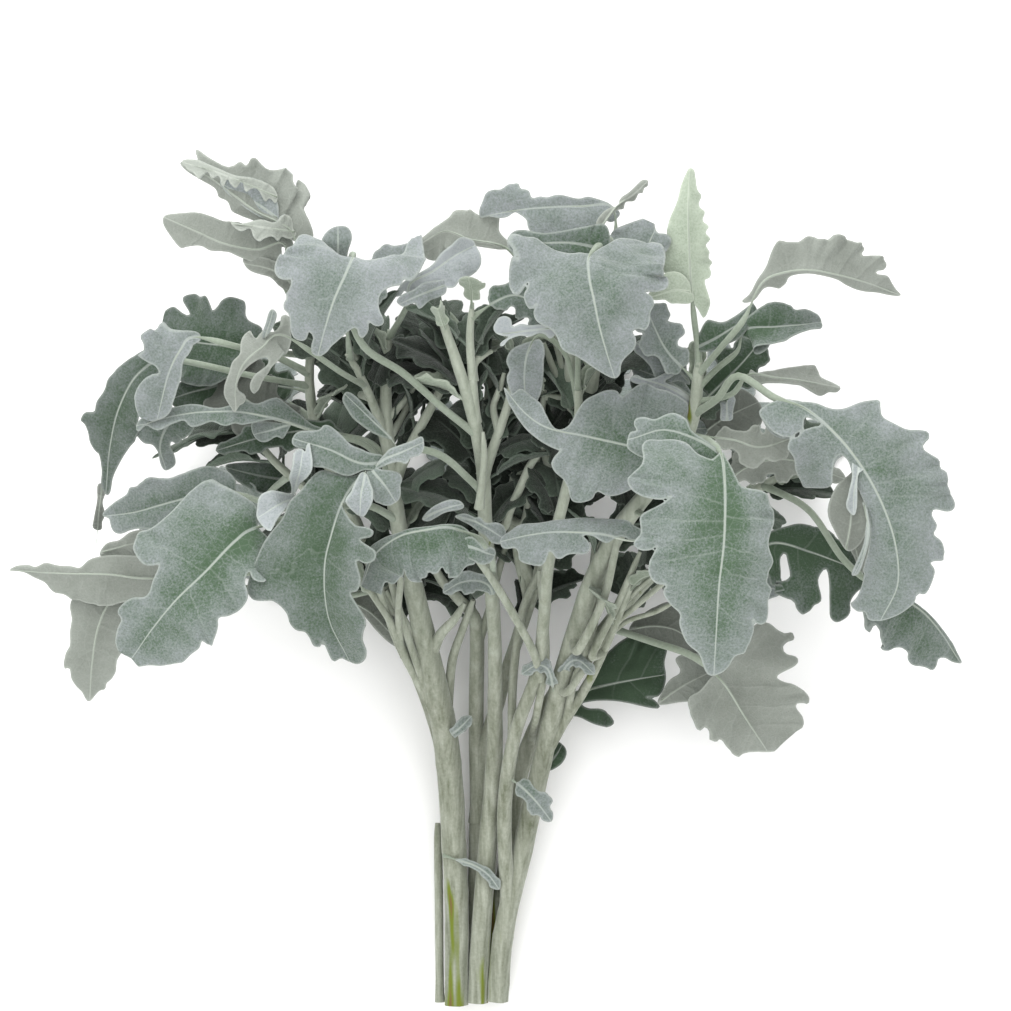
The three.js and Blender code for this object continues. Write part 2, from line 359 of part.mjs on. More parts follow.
const LEAF_DEFAULTS = {
  "bare": 0.2, "half": [10, 10], "face": [0, 0, 1], "fold": [0, 0], "curl": [0, 0],
  "lobes": 4, "cut": [0.5, 0.2], "widest": 0.45, "wave": 0, "back": -0.5
};

// ---- curves ----

// A smooth line through the points, with its points at equal steps of length.
function measuredCurve(points) {
  const knots = points.map(([x, y, z]) => new THREE.Vector3(x, y, z));
  return new THREE.CatmullRomCurve3(knots, false, 'catmullrom', 0.5);
}

const axisCurves = {};
for (const [stem, axes] of Object.entries(STEMS)) {
  for (const [axis, points] of Object.entries(axes)) axisCurves[stem + '/' + axis] = measuredCurve(points);
}

// The point of a stem's axis at height y, where a leaf's stalk leaves it.
function pointOnAxis(stem, axis, y) {
  const curve = axisCurves[stem + '/' + axis];
  let low = 0;
  let high = 1;
  for (let i = 0; i < 30; i++) {
    const middle = (low + high) / 2;
    if (curve.getPoint(middle).y < y) low = middle;
    else high = middle;
  }
  return curve.getPoint((low + high) / 2);
}

// ---- solids ----

function solidFrom(vertices, triangles) {
  const vertProperties = new Float32Array(vertices.flatMap((p) => [p.x, p.y, p.z]));
  return new wasm.Manifold(new wasm.Mesh({ numProp: 3, vertProperties, triVerts: new Uint32Array(triangles) }));
}

// The largest of the bodies that a cut leaves.
function mainBody(solid) {
  const bodies = solid.decompose();
  return bodies.reduce((best, body) => (body.volume() > best.volume() ? body : best));
}

// Joins rings of points, each with the same count, into one closed body.
function skinOf(rings) {
  const vertices = rings.flat();
  const n = rings[0].length;
  const triangles = [];
  for (let i = 0; i + 1 < rings.length; i++) {
    for (let j = 0; j < n; j++) {
      const a = i * n + j;
      const b = i * n + (j + 1) % n;
      triangles.push(a, b, b + n, a, b + n, a + n);
    }
  }
  for (let j = 1; j + 1 < n; j++) triangles.push(0, j + 1, j);
  const last = (rings.length - 1) * n;
  for (let j = 1; j + 1 < n; j++) triangles.push(last, last + j, last + j + 1);
  return solidFrom(vertices, triangles);
}

// A round stem along its points, with the radius given at each.
function stemTube(points, sides, extra, steps) {
  const curve = measuredCurve(points);
  const rings = [];
  for (let i = 0; i <= steps; i++) {
    const t = i / steps;
    const at = curve.getPoint(t);
    const along = curve.getTangent(t);
    const across = new THREE.Vector3(1, 0, 0).addScaledVector(along, -along.x).normalize();
    const up = new THREE.Vector3().crossVectors(along, across).normalize();
    const k = t * (points.length - 1);
    const near = Math.min(points.length - 2, Math.floor(k));
    const radius = THREE.MathUtils.lerp(points[near][3], points[near + 1][3], k - near) + extra;
    const ring = [];
    for (let j = 0; j < sides; j++) {
      const turn = (2 * Math.PI * (j + 0.5)) / sides;
      ring.push(at.clone().addScaledVector(across, radius * Math.cos(turn))
        .addScaledVector(up, radius * Math.sin(turn)));
    }
    rings.push(ring);
  }
  return skinOf(rings);
}

function stemSolid(axes, extra) {
  const tubes = Object.entries(axes).map(([axis, points]) => {
    const sides = axis === 'main' ? STEM_SIDES : SHOOT_SIDES;
    return stemTube(points, sides, extra, points.length - 1);
  });
  return wasm.Manifold.union(tubes);
}

// ---- the leaf ----

const smooth = (x) => {
  const t = Math.min(1, Math.max(0, x));
  return t * t * (3 - 2 * t);
};

// Where station u lies among the lobes: the lobe's number, and the place in it from 0 to 1.
function lobePlace(leaf, u) {
  const k = u * (leaf.lobes + 0.5);
  return [Math.floor(k), k - Math.floor(k)];
}

// The half width at station u, as a share of the widest.
function outline(leaf, u) {
  const power = Math.log(0.5) / Math.log(leaf.widest);
  const envelope = Math.pow(Math.max(0, Math.sin(Math.PI * Math.pow(u, power))), 0.7);
  const place = lobePlace(leaf, u)[1];
  const fromBay = 2 * Math.min(place, 1 - place);
  const depth = leaf.cut[0] + (leaf.cut[1] - leaf.cut[0]) * u;
  return envelope * (1 - depth * Math.pow(1 - fromBay, 3));
}

// How far a lobe stands up or down at its margin. Lobes differ, by a golden-angle rule.
function lobeWave(leaf, u, side) {
  const [lobe, place] = lobePlace(leaf, u);
  return leaf.wave * Math.sin(leaf.seed * 1.7 + lobe * 2.4 + side * 1.3) * Math.sin(Math.PI * place) ** 2;
}

// The frame of the midrib at share s of its length. A lobe that reaches back past the blade's base
// keeps the frame of the base.
function midribFrame(leaf, s, reach) {
  const t = Math.min(1, reach < 0 ? Math.max(s + reach, leaf.bare) : s + reach);
  const at = leaf.curve.getPointAt(t);
  const along = leaf.curve.getTangentAt(t);
  at.addScaledVector(along, Math.min(0, s + reach - t) * leaf.length);
  const look = t < leaf.bare
    ? leaf.root.clone().lerp(leaf.face, t / leaf.bare)
    : leaf.face.clone().lerp(leaf.end, (t - leaf.bare) / (1 - leaf.bare));
  const up = look.addScaledVector(along, -look.dot(along)).normalize();
  return { at, up, right: new THREE.Vector3().crossVectors(along, up) };
}

// A point of the leaf. v runs from -1 to 1 across it, and layer is 1 on its upper skin and -1 below.
function leafPoint(leaf, s, v, layer) {
  const share = Math.abs(v);
  const side = v < 0 ? 0 : 1;
  const u = Math.max(0, (s - leaf.bare) / (1 - leaf.bare));
  const stalk = STALK_RADIUS * leaf.size * (1 - 0.75 * u);
  const half = Math.max(stalk, u > 0 ? leaf.half[side] * outline(leaf, u) : 0);
  const lean = u > 0 ? leaf.back * (1 - u) ** 3 + 1.6 * u * (1 - u) : 0;
  const frame = midribFrame(leaf, s, (lean * share * half) / leaf.length);
  const fold = THREE.MathUtils.degToRad(leaf.fold[side]) * smooth(4 * u);
  const curl = THREE.MathUtils.degToRad(leaf.curl[side]) * smooth(4 * u) + 1e-4;
  const out = (half * (Math.sin(fold + curl * share) - Math.sin(fold))) / curl;
  const rise = (half * (Math.cos(fold) - Math.cos(fold + curl * share))) / curl;
  const wave = u > 0 ? share * share * lobeWave(leaf, u, side) : 0;
  const roundness = 1 - smooth(6 * u);
  const dome = roundness * (stalk - BLADE_THICKNESS / 2) * Math.cos((Math.PI / 2) * share);
  const rib = layer < 0 && v === 0 ? (1 - roundness) * MIDRIB_DEPTH * leaf.size * (1 - u) : 0;
  const tilt = share > 0 ? fold + curl * share : 0;
  const skin = layer * (BLADE_THICKNESS / 2 + dome + rib);
  return frame.at.clone()
    .addScaledVector(frame.right, (side ? 1 : -1) * (out - Math.sin(tilt) * skin))
    .addScaledVector(frame.up, rise + wave + Math.cos(tilt) * skin);
}

// The stations along a leaf: a few on the stalk, then each bay and the shoulders of each lobe.
function leafStations(leaf) {
  const stations = [];
  const addBlade = (k) => stations.push(leaf.bare + ((1 - leaf.bare) * k) / (leaf.lobes + 0.5));
  for (let i = 0; i < leaf.stalkSteps; i++) stations.push((leaf.bare * i) / leaf.stalkSteps);
  for (let lobe = 0; lobe < leaf.lobes; lobe++) {
    addBlade(lobe + 0.02);
    for (const shoulder of leaf.shoulders) addBlade(lobe + shoulder);
  }
  for (const place of [0.02, 0.25, 0.49]) addBlade(leaf.lobes + place);
  return stations;
}

function leafSolid(leaf) {
  const stations = leafStations(leaf);
  const wide = leaf.columns.length;
  const vertices = [];
  for (const s of stations) {
    for (const layer of [1, -1]) {
      for (const v of leaf.columns) vertices.push(leafPoint(leaf, s, v, layer));
    }
  }
  const upper = (i, j) => i * 2 * wide + j;
  const lower = (i, j) => i * 2 * wide + wide + j;
  const triangles = [];
  const last = stations.length - 1;
  const edge = wide - 1;
  for (let i = 0; i < last; i++) {
    for (let j = 0; j < edge; j++) {
      const [a, b, c, d] = [upper(i, j), upper(i, j + 1), upper(i + 1, j + 1), upper(i + 1, j)];
      const [e, f, g, h] = [lower(i, j), lower(i, j + 1), lower(i + 1, j + 1), lower(i + 1, j)];
      if (leaf.columns[j] < 0) triangles.push(a, b, d, b, c, d, e, h, f, f, h, g);
      else triangles.push(a, b, c, a, c, d, e, g, f, e, h, g);
    }
    const [a, b, c, d] = [upper(i, 0), upper(i + 1, 0), lower(i + 1, 0), lower(i, 0)];
    const [e, f, g, h] = [upper(i, edge), upper(i + 1, edge), lower(i + 1, edge), lower(i, edge)];
    triangles.push(a, b, c, a, c, d, e, g, f, e, h, g);
  }
  for (let j = 0; j < edge; j++) {
    const [a, b, c, d] = [upper(0, j), upper(0, j + 1), lower(0, j + 1), lower(0, j)];
    const [e, f, g, h] = [upper(last, j), upper(last, j + 1), lower(last, j + 1), lower(last, j)];
    triangles.push(a, d, b, b, d, c, e, f, h, f, g, h);
  }
  return solidFrom(vertices, triangles);
}

// Completes a leaf's details from its midrib.
function makeLeaf(knots, details, seed) {
  const given = { ...LEAF_DEFAULTS, ...details };
  const curve = measuredCurve(knots);
  const face = new THREE.Vector3(...given.face);
  const largest = Math.max(...given.half);
  const length = curve.getLength();
  return {
    ...given, curve, face, length, seed,
    root: given.root ? new THREE.Vector3(...given.root) : face.clone(),
    end: given.end ? new THREE.Vector3(...given.end) : face.clone(),
    size: 0.65 + 0.35 * Math.min(1, largest / 25),
    columns: largest > 23 ? [-1, -0.5, 0, 0.5, 1] : [-1, 0, 1],
    shoulders: largest < 13 || given.rests ? [0.5] : [0.3, 0.7],
    stalkSteps: given.young ? 1 : Math.max(2, Math.round((given.bare * length) / 16))
  };
}

// ---- young leaves ----

// The k-th young leaf from a shoot's tip, counted from 0, standing off it at the turn given.
function youngLeaf(axis, k, turn) {
  const t = YOUNG_START - YOUNG_SPACING * k;
  const at = axisCurves[axis].getPoint(t);
  const along = axisCurves[axis].getTangent(t);
  const across = new THREE.Vector3(1, 0, 0).addScaledVector(along, -along.x).normalize();
  const above = new THREE.Vector3().crossVectors(across, along);
  const angle = THREE.MathUtils.degToRad(turn);
  const off = across.multiplyScalar(Math.cos(angle)).addScaledVector(above, Math.sin(angle));
  const spread = THREE.MathUtils.degToRad(YOUNG_SPREAD + 12 * k);
  const way = along.clone().multiplyScalar(Math.cos(spread)).addScaledVector(off, Math.sin(spread));
  const length = YOUNG_LENGTH + 5 * k;
  const middle = at.clone().addScaledVector(way, 0.5 * length);
  const tip = at.clone().addScaledVector(way, length).addScaledVector(off, 0.14 * length);
  const half = YOUNG_HALF_WIDTH + k;
  const details = {
    "bare": 0.16, "half": [half, half], "face": off.multiplyScalar(-1).toArray(), "fold": [24, 24],
    "lobes": 2, "cut": [0.36, 0.24], "young": true
  };
  return makeLeaf([at.toArray(), middle.toArray(), tip.toArray()], details, k);
}

function smallLeafSolids(stem) {
  const young = Object.entries(YOUNG_LEAVES).filter(([axis]) => axis.split('/')[0] === stem)
    .flatMap(([axis, turns]) => turns.map((turn, k) => youngLeaf(axis, k, turn)));
  const low = (STEM_LEAVES[stem] ?? []).map(([points, details], k) => makeLeaf(points, details, k));
  return [...young, ...low].map(leafSolid);
}

// ---- assembly ----

const stemMaterial = new THREE.MeshStandardMaterial({ color: '#b9bfae', roughness: 0.85 });
const leafMaterial = new THREE.MeshStandardMaterial({ color: '#97a39b', roughness: 0.95 });

function meshFrom(solid, name, material) {
  const made = solid.getMesh();
  const geometry = new THREE.BufferGeometry();
  geometry.setAttribute('position', new THREE.BufferAttribute(made.vertProperties, 3));
  geometry.setIndex(new THREE.BufferAttribute(made.triVerts, 1));
  geometry.computeVertexNormals();
  const mesh = new THREE.Mesh(geometry, material);
  mesh.name = name;
  return mesh;
}

const bunch = new THREE.Group();
const stemCutters = {};

for (const [name, axes] of Object.entries(STEMS)) {
  const grown = wasm.Manifold.union([stemSolid(axes, 0), ...smallLeafSolids(name)]);
  bunch.add(meshFrom(mainBody(grown.trimByPlane([0, 0, 1], 0)), name, stemMaterial));
  stemCutters[name] = stemSolid(axes, LEAF_TO_STEM_GAP);
}

LEAVES.forEach(([name, stem, axis, y, points, details], index) => {
  const start = pointOnAxis(stem, axis, y);
  const leaf = makeLeaf([start.toArray(), ...points], details, index);
  const cut = leafSolid(leaf).subtract(stemCutters[stem]).trimByPlane([0, 0, 1], 0);
  bunch.add(meshFrom(mainBody(cut), name, leafMaterial));
});

bunch.position.set(...ORIGIN_SHIFT);

export default bunch;
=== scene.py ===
"""A florist's bunch of dusty miller, cut and laid down on a pale table.

Lengths in the tables are millimetres, with +Z up and the cut ends of the stems towards -Y. Every
finished piece is in metres, in the frame of the solid model, and stands for the solid of its name.

A blade is drawn flat first: x runs along the midrib from the stalk's foot, y across it (right side
positive). Its outline is a drawn margin or, where it has none, the union of a body and of round-ended
lobes, one on each side vein. It is then bent round its midrib, folded and curled.
"""

import math

import bpy
import numpy as np
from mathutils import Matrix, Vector
from mathutils.bvhtree import BVHTree


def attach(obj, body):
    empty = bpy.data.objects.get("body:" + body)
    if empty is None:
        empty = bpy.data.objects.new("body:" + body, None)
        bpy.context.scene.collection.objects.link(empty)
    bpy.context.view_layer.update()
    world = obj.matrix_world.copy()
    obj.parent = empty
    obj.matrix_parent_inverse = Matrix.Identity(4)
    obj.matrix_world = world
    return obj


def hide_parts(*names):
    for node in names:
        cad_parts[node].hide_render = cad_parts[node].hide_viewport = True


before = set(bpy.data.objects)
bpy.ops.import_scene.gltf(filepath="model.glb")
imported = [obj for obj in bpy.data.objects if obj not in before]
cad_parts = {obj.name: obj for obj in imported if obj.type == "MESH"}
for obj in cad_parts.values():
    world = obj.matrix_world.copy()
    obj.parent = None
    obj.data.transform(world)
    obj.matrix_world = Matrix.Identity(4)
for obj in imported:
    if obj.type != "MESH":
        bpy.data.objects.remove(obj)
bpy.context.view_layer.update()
scene = bpy.context.scene

MM = 0.001
BLADE_THICKNESS = 0.8
STALK_RADIUS = 1.5
LOWEST = 0.02  # how close a leaf comes to the table
ORIGIN_SHIFT = np.array([6.4, -4.7, 0.0])  # from the tables' origin to the model's

# ---- stems: centreline points, each x, y, z and radius, from the cut end to the tip of the shoot ----

STEMS = {
    "stem_left": {
        "main": [-18.4,-170,12.1,4.9, -18.3,-128,15,4.9, -19.6,-100,19,5.1, -20.6,-80,22.5,5.2,
          -23,-56,29,5.2, -26,-40,34,5, -31,-17,42,4.6, -35.5,4,51,4.1, -41,28,61,3.4, -45,58,73,2.9,
          -46,84,83,2.3, -44,108,91,1.6],
        "low_shoot": [-29,-24,39,2.4, -24.5,-15,46,2.1, -19,-9,51,1.8, -14.5,-2,54,1.3],
        "outer_shoot": [-27,-46,33,2.4, -36,-30,38,2, -42,-18,44,1.8, -47,-4,51,1.5, -51,10,60,1.3],
        "right_shoot": [-43,48,69,2.4, -34,66,78,2, -24,84,86,1.7, -17,98,92,1.3],
        "left_shoot": [-45,60,74,2.2, -50,76,84,1.8, -56,90,94,1.5, -61,98,101,1.2],
    },
    "stem_left_back": {
        "main": [-17.9,-167,3.5,4, -18,-144,3.6,4, -19,-118,7,4, -20.5,-86,11,3.8, -25,-58,16,3.6,
          -33,-34,23,3.4, -44,-6,34,3.2, -54,18,45,3, -64,42,56,2.6, -74,66,66,2.2, -77,90,75,1.9,
          -74,112,83,1.5],
        "far_shoot": [-58,28,49,2.2, -76,42,57,1.9, -92,56,60,1.6, -103,70,60,1.2],
    },
    "stem_centre": {
        "main": [-9.6,-169,11.5,4.2, -8.2,-140,14.4,4.1, -5.5,-105,18.6,3.9, -3,-76,24,3.7, -2.3,-46,32,3.1,
          -2.4,-18,43,2.8, -3.5,2,52,2.9, -6,28,66,2.9, -7,52,80,2.7, -11,74,93,2.5, -18,97,105,2.1,
          -24,114,114,1.6],
        "right_shoot": [-7,50,79,2.2, -1,66,85,1.9, 4,82,89,1.6, 6,98,92,1.2],
        "bud_shoot": [-10,71,91,2, -11,88,99,1.8, -12,104,106,1.6, -11,118,111,1.2],
    },
    "stem_centre_back": {
        "main": [-10.1,-170,3.5,4, -10.1,-146,3.6,4, -9.4,-118,6.5,4, -9,-90,10,3.8, -7,-66,14,3.3,
          0,-40,20,2.8, 8,-14,30,2.6, 16,10,42,2.8, 24,34,55,2.8, 30,58,69,2.6, 36,82,83,2.4, 40,106,96,2.1,
          42,124,105,1.6],
        "left_branch": [-9.2,-94,9.5,3.2, -10.1,-60,15,3.1, -10,-39,21,3.1, -9.7,-18,29,3, -11,-7.5,35,2.6,
          -17.5,0,41,2.2, -24.5,8,46,1.9, -28,16,50,1.5],
        "left_shoot": [14,4,39,2.4, 8,18,45,2.1, 4,34,50,1.8, 6,54,56,1.4],
        "thin_shoot": [24,34,55,2.2, 20,52,66,1.9, 16,68,76,1.6, 18,84,86,1.2],
    },
    "stem_right": {
        "main": [-1.2,-168.5,11.7,4.4, 0.5,-145,14,4.3, 4,-126,16,4.1, 8,-110,18,4.2, 13.6,-84,23,4.1,
          18,-64,28,4, 24,-38,37,4.1, 31,-14,47,4.2, 38,8,58,4, 48,28,69,3.7, 60,44,79,3.3, 71,58,88,3,
          77,74,96,2.7, 79,95,105,2.1],
        "inner_shoot": [3.5,-128,16,3, 1.8,-104,24,3, 2,-82,30,3, 6,-56,37,2.8, 15,-30.5,45,2.6,
          17.6,-9,55,2.5, 19.6,15,67,2.4, 26,42,81,2.2, 31,66,93,2, 31,88,102,1.5],
        "outer_shoot": [18,-66,28,2.2, 26,-52,32,2, 34.5,-38,38,1.9, 43,-20,47,1.8, 54,8,60,1.5],
    },
    "stem_right_back": {
        "main": [-2.3,-166,3.5,4, -2.1,-146,3.6,4, 0.8,-124,6,3.8, 5,-98,9.5,3.6, 9,-70,13,3.4,
          18,-48,18,3.2, 31,-28,25,3, 47,-8,34,2.8, 65,13,45,2.6, 82,30,55,2.4, 100,42,64,2, 114,50,71,1.6],
        "low_shoot": [15,-54,16,2.2, 24,-45,17.5,1.9, 34,-40,19,1.5],
    },
}
